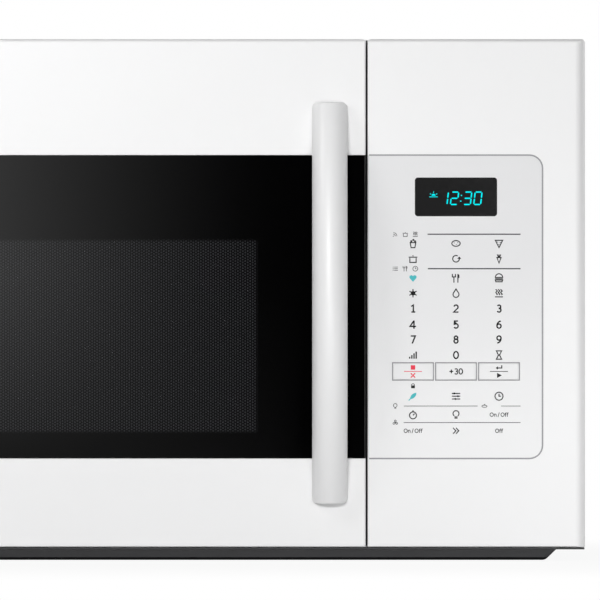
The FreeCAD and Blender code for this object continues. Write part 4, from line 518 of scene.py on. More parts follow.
def ink(name, colour):
    """Screen print: one colour whose coverage thins a little in places."""
    shader = Shader(name, Specular_IOR_Level=0.15)
    cover = shader.noise(1800.0, detail=1.0)
    pale = tuple(part + (1.0 - part) * 0.04 for part in colour)
    shader.colour(shader.blend(shader.spread(cover, 0.0, 1.0, 0.6, 0.8), colour, pale))
    shader.roughness(shader.spread(cover, 0.45, 0.55))
    return shader.material


def printed_film(name, top, bottom):
    """Matt pale film whose colour lightens towards its lower end."""
    shader = Shader(name)
    low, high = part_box("keypad_film")
    height = shader.axes()[2]
    tone = shader.spread(height, 0.0, 1.0, low[2], high[2] - FILM_FADE_BELOW_TOP)
    shader.colour(shader.blend(tone, bottom, shader.drifting(top, 0.985)))
    fine = shader.noise(2200.0, detail=2.0)
    shader.roughness(shader.spread(fine, 0.29, 0.39))
    shader.bump(fine, 0.00002)
    return shader.material


def lit_segment(name, colour):
    """Lit display segment whose glow varies a little along it."""
    unlit = (0.0, 0.02, 0.02, 1.0)
    shader = Shader(name, Base_Color=unlit, Emission_Strength=1.0, Specular_IOR_Level=0.0)
    glow = shader.noise(900.0, detail=1.0)
    shader.feed(shader.bsdf.inputs["Emission Color"], shader.blend(glow, darker(colour, 0.9), colour))
    return shader.material


def finishes():
    """The material of each slot in the record."""
    low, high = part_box("door_screen")
    return {
        "white_plastic": moulded("white_plastic", (0.865, 0.865, 0.868), 0.45, mottle=0.985),
        "white_paint": moulded("white_paint", (0.845, 0.845, 0.85), 0.5, grain=700.0, mottle=0.98,
                              Specular_IOR_Level=0.35),
        # The pan's last colour is near black painted shade for its flange and turned-under edge.
        "dark_paint": pan_paint_and_shade("dark_paint", (0.245, 0.246, 0.254), (0.022, 0.022, 0.024)),
        "zinc_steel": galvanised("zinc_steel", (0.66, 0.67, 0.69), 0.38),
        "cavity_enamel": enamel("cavity_enamel"),
        "black_glass": black_glass((low[0], high[0]), (low[2], high[2])),
        "screen_paint": perforated("screen_paint"),
        "clear_sheet": clear("clear_sheet", (0.9, 0.92, 0.92), 0.03),
        "dark_plastic": moulded("dark_plastic", (0.06, 0.061, 0.064), 0.45, depth=0.00004, mottle=0.9),
        "keypad_print": printed_film("keypad_print", (0.705, 0.706, 0.714), (0.795, 0.796, 0.80)),
        "display_smoke": moulded("display_smoke", (0.0145, 0.0145, 0.0148), 0.03, mottle=0.92),
        "display_glass": moulded("display_glass", (0.01, 0.011, 0.012), 0.08, mottle=0.9),
        "circuit_board": circuit("circuit_board"),
        "steel": brushed("steel", (0.56, 0.57, 0.58), 0.3, scale=(500.0, 500.0, 500.0)),
        "motor_steel": brushed("motor_steel", (0.5, 0.51, 0.53), 0.36),
        "magnetron_steel": brushed("magnetron_steel", (0.62, 0.62, 0.63), 0.33,
                                   scale=(900.0, 40.0, 900.0)),
        "transformer_iron": laminated("transformer_iron"),
        "capacitor_can": brushed("capacitor_can", (0.70, 0.71, 0.72), 0.28, scale=(700.0, 700.0, 25.0)),
        "mica": mica("mica"),
        "natural_plastic": moulded("natural_plastic", (0.70, 0.69, 0.65), 0.4, mottle=0.94,
                                   Subsurface_Weight=0.15),
        "tray_glass": clear("tray_glass", (0.93, 0.975, 0.965), 0.025, ripple=35.0),
        "filter_aluminium": brushed("filter_aluminium", (0.76, 0.77, 0.78), 0.34,
                                    scale=(40.0, 700.0, 700.0)),
        "lamp_lens": ribbed_lens("lamp_lens"),
        "lamp_glass": clear("lamp_glass", (0.96, 0.94, 0.88), 0.28),
        "charcoal": granular("charcoal", (0.012, 0.012, 0.013)),
        "rubber": moulded("rubber", (0.028, 0.028, 0.029), 0.7, grain=600.0, depth=0.00006,
                          mottle=0.88),
    }


def trim_finishes():
    """The materials of the handle, the near black strip of painted shade in the gap beside the door, the
    grey painted shade at the film's edge and round the keys, and the printed and lit marks.
    """
    return {
        "handle_plastic": moulded("handle_plastic", (0.865, 0.865, 0.868), 0.36, mottle=0.985),
        # Near black painted shade for the strip in the gap beside the door
        "gap_shade_black": moulded("gap_shade_black", (0.006, 0.006, 0.0065), 0.8, grain=600.0, depth=0.00006,
                                mottle=0.85, Specular_IOR_Level=0.1),
        "dark_ink": ink("dark_ink", (0.008, 0.008, 0.009)),
        "grey_ink": ink("grey_ink", (0.06, 0.06, 0.063)),
        "teal_ink": ink("teal_ink", (0.07, 0.50, 0.54)),
        "red_ink": ink("red_ink", (0.85, 0.045, 0.085)),
        # Grey painted shade at the film's edge and round the keys
        "edge_shade_ink": ink("edge_shade_ink", (0.32, 0.32, 0.335)),
        "lit_cyan": lit_segment("lit_cyan", (0.0, 0.95, 1.0)),
    }


def dress_nodes(materials):
    """Gives each CAD node its slot's material, and the handle a glossier plastic."""
    for row in frame["record"]["subparts"]:
        for holder in NODES[row["node"]].material_slots:
            holder.material = materials[row["material_slot"]]
    NODES["door_handle"].material_slots[0].material = materials["handle_plastic"]


# Printed marks

class Pen:
    """Draws flat printed marks as thin closed plates on a front face."""

    def __init__(self, front):
        self.mesh = bmesh.new()
        self.front = front
        self.at(0.0, 0.0, 1.0, LINE)

    def at(self, x, z, size, width):
        """Moves to a place: later points are shares of size round it, and width is in metres."""
        self.middle = Vector((x, z))
        self.size = size
        self.half = width / 2
        return self

    def point(self, place):
        return self.middle + Vector(place) * self.size

    def corners(self, outline, depth):
        return [self.mesh.verts.new((spot[0], self.front - depth, spot[1])) for spot in outline]

    def walls(self, near, far):
        for index, vert in enumerate(near):
            self.mesh.faces.new((near[index - 1], vert, far[index], far[index - 1]))

    def prism(self, outline):
        """A plate from an outline in metres."""
        near, far = self.corners(outline, INK), self.corners(outline, 0.0)
        self.mesh.faces.new(near)
        self.mesh.faces.new(far[::-1])
        self.walls(near, far)

    def plate(self, *places):
        self.prism([self.point(place) for place in places])

    def sides(self, spots, closed):
        """The two edges of a line of the pen's width, mitred at its bends."""
        left, right = [], []
        count = len(spots)
        for index, spot in enumerate(spots):
            before = spots[index - 1] if closed or index else spot
            after = spots[(index + 1) % count] if closed or index < count - 1 else spot
            ways = [way.normalized() for way in (spot - before, after - spot) if way.length > 0]
            along = (ways[0] + ways[-1]).normalized()
            across = Vector((-along[1], along[0])) * self.half / max(along.dot(ways[0]), LEAST_MITRE)
            left.append(spot + across)
            right.append(spot - across)
        return left, right

    def line(self, *places):
        left, right = self.sides([self.point(place) for place in places], False)
        self.prism(left + right[::-1])

    def loop(self, *places):
        left, right = self.sides([self.point(place) for place in places], True)
        near_left, near_right = self.corners(left, INK), self.corners(right, INK)
        far_left, far_right = self.corners(left, 0.0), self.corners(right, 0.0)
        self.walls(near_left, near_right)
        self.walls(far_right, far_left)
        self.walls(far_left, near_left)
        self.walls(near_right, far_right)

    def round(self, x, z, radius, start=0.0, end=FULL_TURN, squash=1.0):
        """Points of a circle, an arc or an ellipse."""
        swept = end - start
        if swept == FULL_TURN:
            count = steps = CIRCLE_POINTS
        else:
            count = max(FEWEST_ARC_POINTS, int(CIRCLE_POINTS * abs(swept) / FULL_TURN))
            steps = count + 1
        turns = [math.radians(start + swept * step / count) for step in range(steps)]
        return [(x + radius * math.cos(turn), z + radius * squash * math.sin(turn)) for turn in turns]

    def ring(self, x, z, radius, squash=1.0):
        self.loop(*self.round(x, z, radius, squash=squash))

    def arc(self, x, z, radius, start, end):
        self.line(*self.round(x, z, radius, start, end))

    def dot(self, x, z, radius):
        self.plate(*self.round(x, z, radius))

    def done(self, name, body, slot, material):
        """Turns what was drawn into a piece."""
        bmesh.ops.recalc_face_normals(self.mesh, faces=self.mesh.faces)
        add_piece(self.mesh, name, body, material)


def object_from(mesh, name, material):
    """Turns a bmesh into an object of one material."""
    data = bpy.data.meshes.new(name)
    mesh.to_mesh(data)
    mesh.free()
    data.materials.append(material)
    made = bpy.data.objects.new(name, data)
    bpy.context.scene.collection.objects.link(made)
    return made


def add_piece(mesh, name, body, material):
    """Turns a bmesh into a piece that rides on a body."""
    made = object_from(mesh, name, material)
    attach(made, body)


def on_circle(radius, turn):
    """The point at an angle in degrees on a circle round the middle."""
    return radius * math.cos(math.radians(turn)), radius * math.sin(math.radians(turn))


# Pictograms, each drawn inside a square from -0.5 to 0.5

def popcorn(pen):
    pen.loop((-0.32, 0.1), (-0.22, -0.48), (0.22, -0.48), (0.32, 0.1))
    for x, z in ((-0.2, 0.26), (0.04, 0.4), (0.24, 0.25)):
        pen.dot(x, z, 0.12)


def potato(pen):
    pen.ring(0.0, 0.0, 0.48, squash=0.68)
    for x, z in ((-0.2, 0.06), (0.02, -0.12), (0.2, 0.1)):
        pen.dot(x, z, 0.05)


def wedge(pen):
    pen.loop((-0.42, 0.36), (0.42, 0.36), (0.0, -0.48))
    for x, z in ((-0.14, 0.16), (0.14, 0.1), (0.0, -0.12)):
        pen.dot(x, z, 0.06)


def pot(pen):
    pen.line((-0.36, 0.08), (-0.36, -0.42), (0.36, -0.42), (0.36, 0.08))
    pen.line((-0.5, 0.18), (0.5, 0.18))
    pen.dot(0.0, 0.34, 0.07)


def turn_arrow(pen):
    pen.arc(0.0, 0.0, 0.38, 60.0, 360.0)
    pen.plate((0.14, 0.0), (0.62, 0.0), (0.38, 0.26))


def carrot(pen):
    pen.loop((-0.24, 0.14), (0.24, 0.14), (0.0, -0.5))
    for x in (-0.2, 0.0, 0.2):
        pen.line((x * 0.4, 0.2), (x, 0.5))


def leaf(pen):
    lower_edge = pen.round(-0.34, 0.4, 0.74, -90.0, 0.0)
    upper_edge = pen.round(0.4, -0.34, 0.74, 90.0, 180.0)
    pen.plate(*lower_edge[1:], *upper_edge[1:])
    pen.line((-0.5, -0.5), (-0.3, -0.3))


def heart(pen):
    right_lobe = pen.round(0.2, 0.14, 0.22, -30.0, 150.0)
    left_lobe = pen.round(-0.2, 0.14, 0.22, 30.0, 210.0)
    pen.plate((0.0, -0.42), *right_lobe, *left_lobe)


def cutlery(pen):
    pen.line((0.22, -0.5), (0.22, 0.5))
    pen.plate((0.2, -0.02), (0.4, 0.08), (0.38, 0.4), (0.22, 0.5))
    pen.line((-0.24, -0.5), (-0.24, 0.1))
    pen.line((-0.42, 0.5), (-0.42, 0.16), (-0.06, 0.16), (-0.06, 0.5))


def sandwich(pen):
    pen.loop(*pen.round(0.0, 0.1, 0.42, 0.0, 180.0))
    pen.line((-0.46, -0.06), (0.46, -0.06))
    pen.loop((-0.42, -0.2), (-0.36, -0.4), (0.36, -0.4), (0.42, -0.2))


def snowflake(pen):
    for turn in (90.0, 150.0, 210.0):
        x, z = on_circle(0.48, turn)
        pen.line((-x, -z), (x, z))
    pen.ring(0.0, 0.0, 0.2)


def drop(pen):
    pen.loop((0.0, 0.5), *pen.round(0.0, -0.14, 0.34, 30.0, -210.0))


def warm(pen):
    for x in (-0.28, 0.0, 0.28):
        pen.line(*[(x + 0.09 * math.sin(step * 1.26), -0.2 + step * 0.075) for step in range(10)])
    pen.line((-0.46, -0.42), (0.46, -0.42))


def power_bars(pen):
    for step in range(4):
        left, top = -0.46 + step * 0.25, -0.2 + step * 0.2
        pen.plate((left, -0.42), (left + 0.16, -0.42), (left + 0.16, top), (left, top))


def hourglass(pen):
    pen.loop((-0.3, 0.48), (0.3, 0.48), (0.06, 0.0), (0.3, -0.48), (-0.3, -0.48), (-0.06, 0.0))


def padlock(pen):
    pen.plate((-0.36, -0.48), (0.36, -0.48), (0.36, 0.06), (-0.36, 0.06))
    pen.arc(0.0, 0.12, 0.26, -10.0, 190.0)


def sliders(pen):
    for z, knob in ((0.32, -0.2), (0.0, 0.22), (-0.32, -0.06)):
        pen.line((-0.48, z), (0.48, z))
        pen.dot(knob, z, 0.11)


def clock(pen):
    pen.ring(0.0, 0.0, 0.46)
    pen.line((0.0, 0.28), (0.0, 0.0), (0.22, 0.0))


def stopwatch(pen):
    pen.ring(0.0, -0.08, 0.4)
    pen.line((0.0, 0.32), (0.0, 0.5))
    pen.line((0.0, -0.08), (0.18, 0.12))


def bulb(pen):
    pen.arc(0.0, 0.12, 0.34, -55.0, 235.0)
    for z in (-0.26, -0.4):
        pen.line((-0.18, z), (0.18, z))


def fan(pen):
    pen.dot(0.0, 0.0, 0.1)
    for turn in (90.0, 210.0, 330.0):
        pen.ring(*on_circle(0.3, turn), 0.17)


def chevrons(pen):
    for x in (-0.34, 0.0):
        pen.line((x, 0.34), (x + 0.32, 0.0), (x, -0.34))


def plate_turn(pen):
    pen.ring(0.0, -0.04, 0.48, squash=0.42)
    pen.plate((-0.12, 0.3), (0.14, 0.44), (0.14, 0.16))


def list_lines(pen):
    for z in (0.3, 0.0, -0.3):
        pen.dot(-0.4, z, 0.08)
        pen.line((-0.2, z), (0.48, z))


def sensor_arcs(pen):
    pen.dot(-0.36, -0.36, 0.1)
    for radius in (0.36, 0.66):
        pen.arc(-0.36, -0.36, radius, 0.0, 90.0)


def sunrise(pen):
    pen.plate(*pen.round(0.0, -0.14, 0.28, 0.0, 180.0))
    pen.line((-0.6, -0.3), (0.6, -0.3))
    for turn in (30.0, 90.0, 150.0):
        pen.line(*[(x, z - 0.14) for x, z in (on_circle(0.4, turn), on_circle(0.6, turn))])


# Figures and letters, each drawn inside a height from -0.5 to 0.5

def figure_zero(pen):
    pen.ring(0.0, 0.0, 0.28, squash=1.5)


def figure_one(pen):
    pen.line((-0.22, 0.26), (0.04, 0.42), (0.04, -0.42))
    pen.line((-0.2, -0.42), (0.28, -0.42))


def figure_two(pen):
    pen.line(*pen.round(0.0, 0.18, 0.25, 165.0, -35.0), (-0.28, -0.43), (0.3, -0.43))


def figure_three(pen):
    pen.arc(0.0, 0.21, 0.21, 150.0, -100.0)
    pen.arc(0.0, -0.19, 0.24, 100.0, -150.0)


def figure_four(pen):
    pen.line((0.1, 0.46), (-0.36, -0.22), (0.36, -0.22))
    pen.line((0.12, 0.5), (0.12, -0.5))


def figure_five(pen):
    pen.line((0.24, 0.43), (-0.18, 0.43), (-0.21, 0.04), *pen.round(0.0, -0.17, 0.26, 120.0, -150.0))


def figure_six(pen):
    pen.ring(0.0, -0.18, 0.25)
    pen.line(*pen.round(0.26, -0.16, 0.51, 95.0, 175.0, squash=1.15))


def figure_seven(pen):
    pen.line((-0.28, 0.43), (0.28, 0.43), (-0.1, -0.5))


def figure_eight(pen):
    pen.ring(0.0, 0.22, 0.2)
    pen.ring(0.0, -0.19, 0.24)


def figure_nine(pen):
    pen.ring(0.0, 0.18, 0.25)
    pen.line(*pen.round(-0.26, 0.16, 0.51, -85.0, -5.0, squash=1.15))


def letter_o(pen):
    pen.ring(0.0, 0.0, 0.4, squash=1.1)


def letter_n(pen):
    pen.line((-0.22, -0.5), (-0.22, 0.22))
    pen.line(*pen.round(0.0, -0.06, 0.22, 175.0, 0.0), (0.22, -0.5))


def letter_f(pen):
    pen.line(*pen.round(0.18, 0.24, 0.22, 70.0, 180.0), (-0.04, -0.5))
    pen.line((-0.2, 0.16), (0.2, 0.16))


def slash(pen):
    pen.line((-0.16, -0.55), (0.16, 0.55))


def plus(pen):
    pen.line((-0.3, 0.0), (0.3, 0.0))
    pen.line((0.0, -0.3), (0.0, 0.3))


def space(pen):
    """Draws nothing."""


# How each figure and letter is drawn, and the share of its height that it takes in a row
FIGURES = (
    figure_zero, figure_one, figure_two, figure_three, figure_four,
    figure_five, figure_six, figure_seven, figure_eight, figure_nine,
)
FIGURE_STEP = 0.74
GLYPHS = {
    "O": (letter_o, 1.02),
    "n": (letter_n, 0.74),
    "f": (letter_f, 0.46),
    "/": (slash, 0.4),
    "+": (plus, 0.78),
    " ": (space, 0.25),
}
GLYPHS.update({str(value): (figure, FIGURE_STEP) for value, figure in enumerate(FIGURES)})


def write(pen, text, x, z, height, width):
    """Figures or a plain word in a row, centred on a place."""
    steps = [GLYPHS[letter][1] * height for letter in text]
    left = x - sum(steps) / 2
    for letter, step in zip(text, steps):
        draw = GLYPHS[letter][0]
        draw(pen.at(left + step / 2, z, height, width))
        left += step


# Keypad

def photo_x(pixel):
    """Where a column of the photo's frame lies on the front, in metres."""
    return CAD_HIGH[0] - (PHOTO_RIGHT - pixel) * PIXEL


def photo_z(pixel):
    """Where a row of the photo's frame lies, in metres above the base."""
    return (PHOTO_BASE - pixel) * PIXEL


def middle_of(node):
    """The middle of a node's box, as x and z."""
    low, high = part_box(node)
    return (low[0] + high[0]) / 2, (low[2] + high[2]) / 2


def keypad_icons(pen, columns):
    """Rows of three pictograms; None leaves a place for another mark."""
    for row, icons in (
        (SENSOR_ROW, (popcorn, potato, wedge)),
        (REHEAT_ROW, (pot, turn_arrow, carrot)),
        (MEAL_ROW, (None, cutlery, sandwich)),
        (DEFROST_ROW, (snowflake, drop, warm)),
        (ZERO_ROW, (power_bars, None, hourglass)),
        (OPTION_ROW, (None, sliders, clock)),
        (LIGHT_ROW, (stopwatch, bulb, None)),
        (FAN_ROW, (None, chevrons, None)),
    ):
        for x, icon in zip(columns, icons):
            if icon:
                icon(pen.at(x, photo_z(row), ICON_SIZE, LINE))


def keypad_figures(pen, columns):
    """The figures 1 to 9 in three rows, and 0 below them."""
    for row, figures in zip(FIGURE_ROWS, ("123", "456", "789")):
        for x, figure in zip(columns, figures):
            write(pen, figure, x, photo_z(row), DIGIT_HEIGHT, DIGIT_LINE)
    write(pen, "0", columns[1], photo_z(ZERO_ROW), DIGIT_HEIGHT, DIGIT_LINE)


def keypad_words(pen, columns):
    """The plain words of the switches for the tray, the fan and the fan's delay."""
    for word, column, row in (
        ("On / Off", 2, LIGHT_ROW),
        ("On / Off", 0, FAN_ROW),
        ("Off", 2, FAN_ROW),
    ):
        write(pen, word, columns[column], photo_z(row), WORD_HEIGHT, WORD_LINE)


def keypad_headings(pen):
    """Small pictograms, each group with a rule beside it."""
    for row, left, icons, rule_left, rule_right, width in (
        (SENSOR_HEADING, HEADING_LEFT, (sensor_arcs, pot, warm), SENSOR_RULE_LEFT, RULE_RIGHT, RULE),
        (PRESET_HEADING, HEADING_LEFT, (list_lines, cutlery, clock), PRESET_RULE_LEFT, RULE_RIGHT, RULE),
        (LIGHT_HEADING, HEADING_LEFT, (bulb,), LIGHT_RULE_LEFT, LIGHT_RULE_RIGHT, FINE_LINE),
        (LIGHT_HEADING, TRAY_HEADING_LEFT, (plate_turn,), TRAY_RULE_LEFT, RULE_RIGHT, FINE_LINE),
        (FAN_HEADING, HEADING_LEFT, (fan,), FAN_RULE_LEFT, RULE_RIGHT, FINE_LINE),
    ):
        z = photo_z(row)
        for step, icon in enumerate(icons):
            icon(pen.at(photo_x(left + step * HEADING_STEP), z, SMALL_ICON_SIZE, FINE_LINE))
        pen.at(0.0, z, 1.0, width).line((photo_x(rule_left), 0.0), (photo_x(rule_right), 0.0))


def keypad_marks(materials):
    """Figures, pictograms and rules printed on the film, in columns over the three keys."""
    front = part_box("keypad_film")[0][1]
    columns = [middle_of(node)[0] for node in ("key_stop", "key_add_time", "key_start")]
    dark, grey, teal = Pen(front), Pen(front), Pen(front)
    keypad_icons(dark, columns)
    keypad_figures(dark, columns)
    keypad_words(dark, columns)
    padlock(dark.at(columns[0], photo_z(LOCK_ROW), SMALL_ICON_SIZE, FINE_LINE))
    heart(teal.at(columns[0], photo_z(MEAL_ROW), ICON_SIZE, LINE))
    leaf(teal.at(columns[0], photo_z(OPTION_ROW), ICON_SIZE, LINE))
    keypad_headings(grey)
    dark.done("keypad_legends", "chassis", "keypad_print", materials["dark_ink"])
    grey.done("keypad_rules", "chassis", "keypad_print", materials["grey_ink"])
    teal.done("keypad_green_legends", "chassis", "keypad_print", materials["teal_ink"])


def gap_shade_strip(materials):
    """Painted shade: a near black strip on the panel's side wall that fills the gap beside the door."""
    door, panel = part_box("door_frame"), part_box("control_panel")
    low = (panel[0][0] - GAP_SHADE_WIDTH, panel[0][1] + GAP_SHADE_SETBACK, panel[0][2] + GAP_SHADE_END_MARGIN)
    high = (panel[0][0], door[1][1], panel[1][2] - GAP_SHADE_END_MARGIN)
    strip = bmesh.new()
    bmesh.ops.create_cube(strip, size=1.0)
    for vert in strip.verts:
        shares = [part + 0.5 for part in vert.co]
        vert.co = [start + share * (end - start) for share, start, end in zip(shares, low, high)]
    edges = strip.edges[:]
    bmesh.ops.bevel(strip, geom=edges, offset=GAP_SHADE_ROUND, segments=GAP_SHADE_ROUND_STEPS, affect="EDGES")
    add_piece(strip, "gap_shade_strip", "chassis", materials["gap_shade_black"])


def film_edge_shade(materials):
    """Painted shade: a grey line over the groove at the film's edge, open towards the door."""
    low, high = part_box("keypad_film")
    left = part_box("control_panel")[0][0] + PANEL_EDGE_ROUND
    right = high[0] - FILM_CORNER - EDGE_SHADE_END_INSET
    radius = FILM_CORNER + EDGE_SHADE_OUTSET
    pen = Pen(low[1]).at(0.0, 0.0, 1.0, FILM_EDGE_SHADE)
    pen.line(
        (left, high[2] + EDGE_SHADE_OUTSET),
        *pen.round(right, high[2] - FILM_CORNER, radius, 90.0, 0.0),
        *pen.round(right, low[2] + FILM_CORNER, radius, 0.0, -90.0),
        (left, low[2] - EDGE_SHADE_OUTSET),
    )
    pen.done("film_edge_shade", "chassis", "keypad_print", materials["edge_shade_ink"])


def sign_halves(pen, x, z):
    """Draws the rule across a key's sign, and gives the places above and below it."""
    pen.at(x, z, KEY_SIGN_BAR, FINE_LINE).line((-0.5, 0.0), (0.5, 0.0))
    return [(x, z + side * KEY_SIGN_OFFSET, KEY_SIGN_SIZE, LINE) for side in (1, -1)]


def stop_sign(pen, x, z):
    """Stop square over a cross."""
    upper, lower = sign_halves(pen, x, z)
    pen.at(*upper).plate((-0.4, -0.4), (0.4, -0.4), (0.4, 0.4), (-0.4, 0.4))
    pen.at(*lower).line((-0.4, -0.4), (0.4, 0.4))
    pen.line((-0.4, 0.4), (-0.1, 0.1))
    pen.line((0.1, -0.1), (0.4, -0.4))


def add_time_sign(pen, x, z):
    """Plus thirty."""
    write(pen, "+30", x, z, KEY_FIGURE_HEIGHT, KEY_FIGURE_LINE)


def start_sign(pen, x, z):
    """Enter arrow over a start triangle."""
    upper, lower = sign_halves(pen, x, z)
    pen.at(*upper).line((0.5, 0.4), (0.5, -0.1), (-0.3, -0.1))
    pen.plate((-0.6, -0.1), (-0.2, -0.4), (-0.2, 0.2))
    pen.at(*lower).plate((-0.36, -0.46), (0.5, 0.0), (-0.36, 0.46))


def key_marks(materials):
    """A grey line of painted shade on the film along the gap round each key, and a sign that moves with
    the key.
    """
    gap_shades = Pen(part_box("keypad_film")[0][1])
    for node, body, draw_sign, shade in (
        ("key_stop", "stop_key", stop_sign, "red_ink"),
        ("key_add_time", "add_time_key", add_time_sign, "dark_ink"),
        ("key_start", "start_key", start_sign, "dark_ink"),
    ):
        low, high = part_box(node)
        x, z = middle_of(node)
        half_x = (high[0] - low[0]) / 2 - KEY_FLANGE + KEY_GAP_SHADE_OUTSET
        half_z = (high[2] - low[2]) / 2 - KEY_FLANGE + KEY_GAP_SHADE_OUTSET
        # The ring is painted shade along the gap between the key and the film.
        gap_shades.at(x, z, 1.0, KEY_GAP_SHADE)
        gap_shades.loop((-half_x, -half_z), (half_x, -half_z), (half_x, half_z), (-half_x, half_z))
        sign = Pen(low[1])
        draw_sign(sign, x, z)
        sign.done(node + "_sign", body, "keypad_print", materials[shade])
    gap_shades.done("key_gap_shades", "chassis", "keypad_print", materials["edge_shade_ink"])


# Display

# Ends of the seven bars of a figure, as shares of its width and its height
SEGMENT_ENDS = {
    "top": ((0.0, 1.0), (1.0, 1.0)),
    "upper_right": ((1.0, 0.5), (1.0, 1.0)),
    "lower_right": ((1.0, 0.0), (1.0, 0.5)),
    "bottom": ((0.0, 0.0), (1.0, 0.0)),
    "lower_left": ((0.0, 0.0), (0.0, 0.5)),
    "upper_left": ((0.0, 0.5), (0.0, 1.0)),
    "middle": ((0.0, 0.5), (1.0, 0.5)),
}

# Bars that are lit in each figure of the clock
LIT_SEGMENTS = {
    "0": ("top", "upper_right", "lower_right", "bottom", "lower_left", "upper_left"),
    "1": ("upper_right", "lower_right"),
    "2": ("top", "upper_right", "middle", "lower_left", "bottom"),
    "3": ("top", "upper_right", "middle", "lower_right", "bottom"),
}


def slanted(spot, x, z):
    """A place in a leaning figure, from the figure's lower left corner."""
    return (x + spot[0] + spot[1] * CLOCK_SLANT, z + spot[1])


def segment_bar(pen, name, x, z):
    """One bar with pointed ends."""
    size = Vector((CLOCK_WIDTH, CLOCK_HEIGHT))
    start, end = [Vector(shares) * size for shares in SEGMENT_ENDS[name]]
    along = (end - start).normalized()
    across = Vector((-along[1], along[0])) * SEGMENT_WIDTH / 2
    first, last = start + along * SEGMENT_GAP, end - along * SEGMENT_GAP
    point = along * SEGMENT_WIDTH / 2
    outline = (
        first,
        first + point - across,
        last - point - across,
        last,
        last - point + across,
        first + point + across,
    )
    pen.plate(*[slanted(spot, x, z) for spot in outline])


def display_marks(materials):
    """The lit clock and a sun sign on the display window's face."""
    pen = Pen(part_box("display_lens")[0][1])
    middle, z = photo_x(CLOCK_PLACE[0]), photo_z(CLOCK_PLACE[1]) - CLOCK_HEIGHT / 2
    lean = CLOCK_SLANT * CLOCK_HEIGHT / 2
    for figure, side, steps in (("1", -1, 1), ("2", -1, 0), ("3", 1, 0), ("0", 1, 1)):
        x = middle + side * (CLOCK_INNER_STEP + steps * CLOCK_STEP) - CLOCK_WIDTH / 2 - lean
        for name in LIT_SEGMENTS[figure]:
            segment_bar(pen, name, x, z)
    for share in COLON_DOTS:
        pen.dot(*slanted((0.0, CLOCK_HEIGHT * share), middle - lean, z), SEGMENT_WIDTH / 2)
    sunrise(pen.at(photo_x(MORNING_SIGN[0]), photo_z(MORNING_SIGN[1]), MORNING_SIGN_SIZE, FINE_LINE))
    pen.done("clock_figures", "chassis", "display_smoke", materials["lit_cyan"])


# Grease filters

def filter_nets(materials):
    """Expanded aluminium net in the frame of each grease filter."""
    slot = "filter_aluminium"
    for side in ("left", "right"):
        low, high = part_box("grease_filter_" + side)
        net = bmesh.new()
        expanded_net(net, low, high)
        add_piece(net, "filter_net_" + side, "filter_" + side, materials[slot])


def expanded_net(net, low, high):
    """Zigzag strands that meet at their bends, lying in the frame's lower recess."""
    columns = int((high[0] - low[0] - 2 * NET_MARGIN) / (NET_PITCH / 2))
    rows = int((high[1] - low[1] - 2 * NET_MARGIN) / (NET_PITCH / 2)) - 1
    for row in range(rows):
        middle = low[1] + NET_MARGIN + (row + 1) * NET_PITCH / 2
        bends = []
        for column in range(columns + 1):
            swing = NET_PITCH / 4 * (1 if (column + row) % 2 else -1)
            bends.append((low[0] + NET_MARGIN + column * NET_PITCH / 2, middle + swing))
        strand(net, bends, low[2] + NET_LIFT)


def strand(net, bends, bottom):
    """One flat zigzag strand as a closed strip, half as thick as it is wide."""
    half = NET_STRAND / 2
    section = ((-half, 0.0), (half, 0.0), (half, half), (-half, half))
    rings = [[net.verts.new((x, y + side, bottom + lift)) for side, lift in section] for x, y in bends]
    for first, second in zip(rings, rings[1:]):
        for index in range(len(section)):
            net.faces.new((first[index - 1], first[index], second[index], second[index - 1]))
    net.faces.new(rings[0])
    net.faces.new(rings[-1][::-1])


# Stage

def studio_world():
    """White to the camera, soft light on the object, and a reflection that fades from left to right."""
    world = bpy.data.worlds.new("studio")
    world.use_nodes = True
    world.node_tree.nodes.clear()
    nodes = Nodes(world.node_tree, "Generated")
    right, back, up = nodes.axes()
    across = nodes.spread(right, 1.0, 0.0, *SOFT_BOX_ACROSS, curve="LINEAR")
    upper = nodes.math("POWER", across, SOFT_BOX_UPPER_FALL)
    lower_fall = nodes.math("POWER", across, SOFT_BOX_LOWER_FALL)
    lower = nodes.math("MULTIPLY", lower_fall, SOFT_BOX_LOWER_LEVEL)
    raised = nodes.spread(up, 0.0, 1.0, *SOFT_BOX_RISE, curve="LINEAR")
    soft_box = nodes.mixed(raised, nodes.light("Background", lower), nodes.light("Background", upper))
    beside = nodes.spread(back, 0.0, 1.0, *SOFT_BOX_EDGE, curve="LINEAR")
    ambient = nodes.light("Background", AMBIENT)
    lighting = nodes.mixed(nodes.mirrored(), ambient, nodes.mixed(beside, soft_box, ambient))
    white = nodes.light("Background", 1.0)
    output = nodes.node("OutputWorld")
    nodes.feed(output.inputs["Surface"], nodes.mixed(nodes.seen(), lighting, white))
    bpy.context.scene.world = world


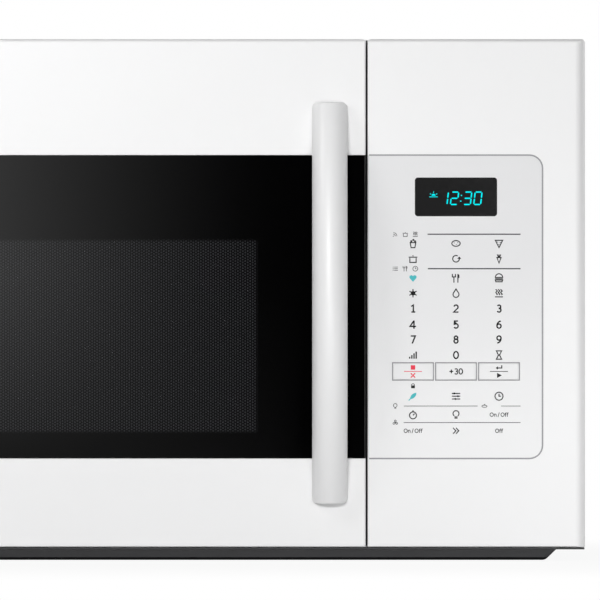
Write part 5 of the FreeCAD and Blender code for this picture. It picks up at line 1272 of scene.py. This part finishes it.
def floor_material():
    """Pale floor that glows to white away from the object and takes its shadow near it."""
    shader = Shader("floor", Roughness=0.9, Specular_IOR_Level=0.1)
    shader.colour(shader.blend(shader.noise(40.0), (0.54, 0.54, 0.54), (0.56, 0.56, 0.56)))
    x, y, _ = shader.axes()
    reach = shader.length(x, y)
    glow = shader.spread(reach, FLOOR_GLOW, 1.0, FLOOR_GLOW_START, FLOOR_GLOW_END)
    mirror_glow = shader.spread(reach, 0.0, 1.0, FLOOR_GLOW_START, FLOOR_MIRROR_END)
    share = shader.math(
        "ADD",
        shader.math("MULTIPLY", shader.seen(), glow),
        shader.math("MULTIPLY", shader.mirrored(), mirror_glow),
    )
    surface = shader.mixed(share, shader.bsdf.outputs[0], shader.light("Emission", 1.0))
    shader.feed(shader.tree.nodes["Material Output"].inputs["Surface"], surface)
    return shader.material


def floor():
    mesh = bmesh.new()
    bmesh.ops.create_circle(mesh, cap_ends=True, radius=FLOOR_RADIUS, segments=FLOOR_POINTS)
    made = object_from(mesh, "floor", floor_material())


def lamp(name, place, aim, size, power):
    """A soft box; size is its width and height."""
    light = bpy.data.lights.new(name, "AREA")
    light.shape = "RECTANGLE"
    light.size, light.size_y = size
    light.energy = power
    made = bpy.data.objects.new(name, light)
    made.location = place
    made.rotation_euler = (Vector(aim) - Vector(place)).to_track_quat("-Z", "Y").to_euler()
    bpy.context.scene.collection.objects.link(made)


def lamps():
    for name, (place, aim, size, power) in LAMPS.items():
        lamp(name, place, aim, size, power)


def camera():
    """Straight on to the front, framed as the photo is."""
    lens = bpy.data.cameras.new("camera")
    lens.sensor_width = SENSOR
    lens.lens = SENSOR * CAMERA_DISTANCE / FRAME_WIDTH
    lens.clip_end = CAMERA_REACH
    made = bpy.data.objects.new("camera", lens)
    door_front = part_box("door_frame")[0][1]
    made.location = (photo_x(PHOTO_MIDDLE[0]), door_front - CAMERA_DISTANCE, photo_z(PHOTO_MIDDLE[1]))
    made.rotation_euler = (math.radians(90.0), 0.0, 0.0)
    bpy.context.scene.collection.objects.link(made)
    bpy.context.scene.camera = made


def main():
    bpy.context.scene.view_settings.view_transform = "Standard"
    materials = {**finishes(), **trim_finishes()}
    dress_nodes(materials)
    keypad_marks(materials)
    film_edge_shade(materials)
    gap_shade_strip(materials)
    key_marks(materials)
    display_marks(materials)
    filter_nets(materials)
    studio_world()
    floor()
    lamps()
    camera()


main()
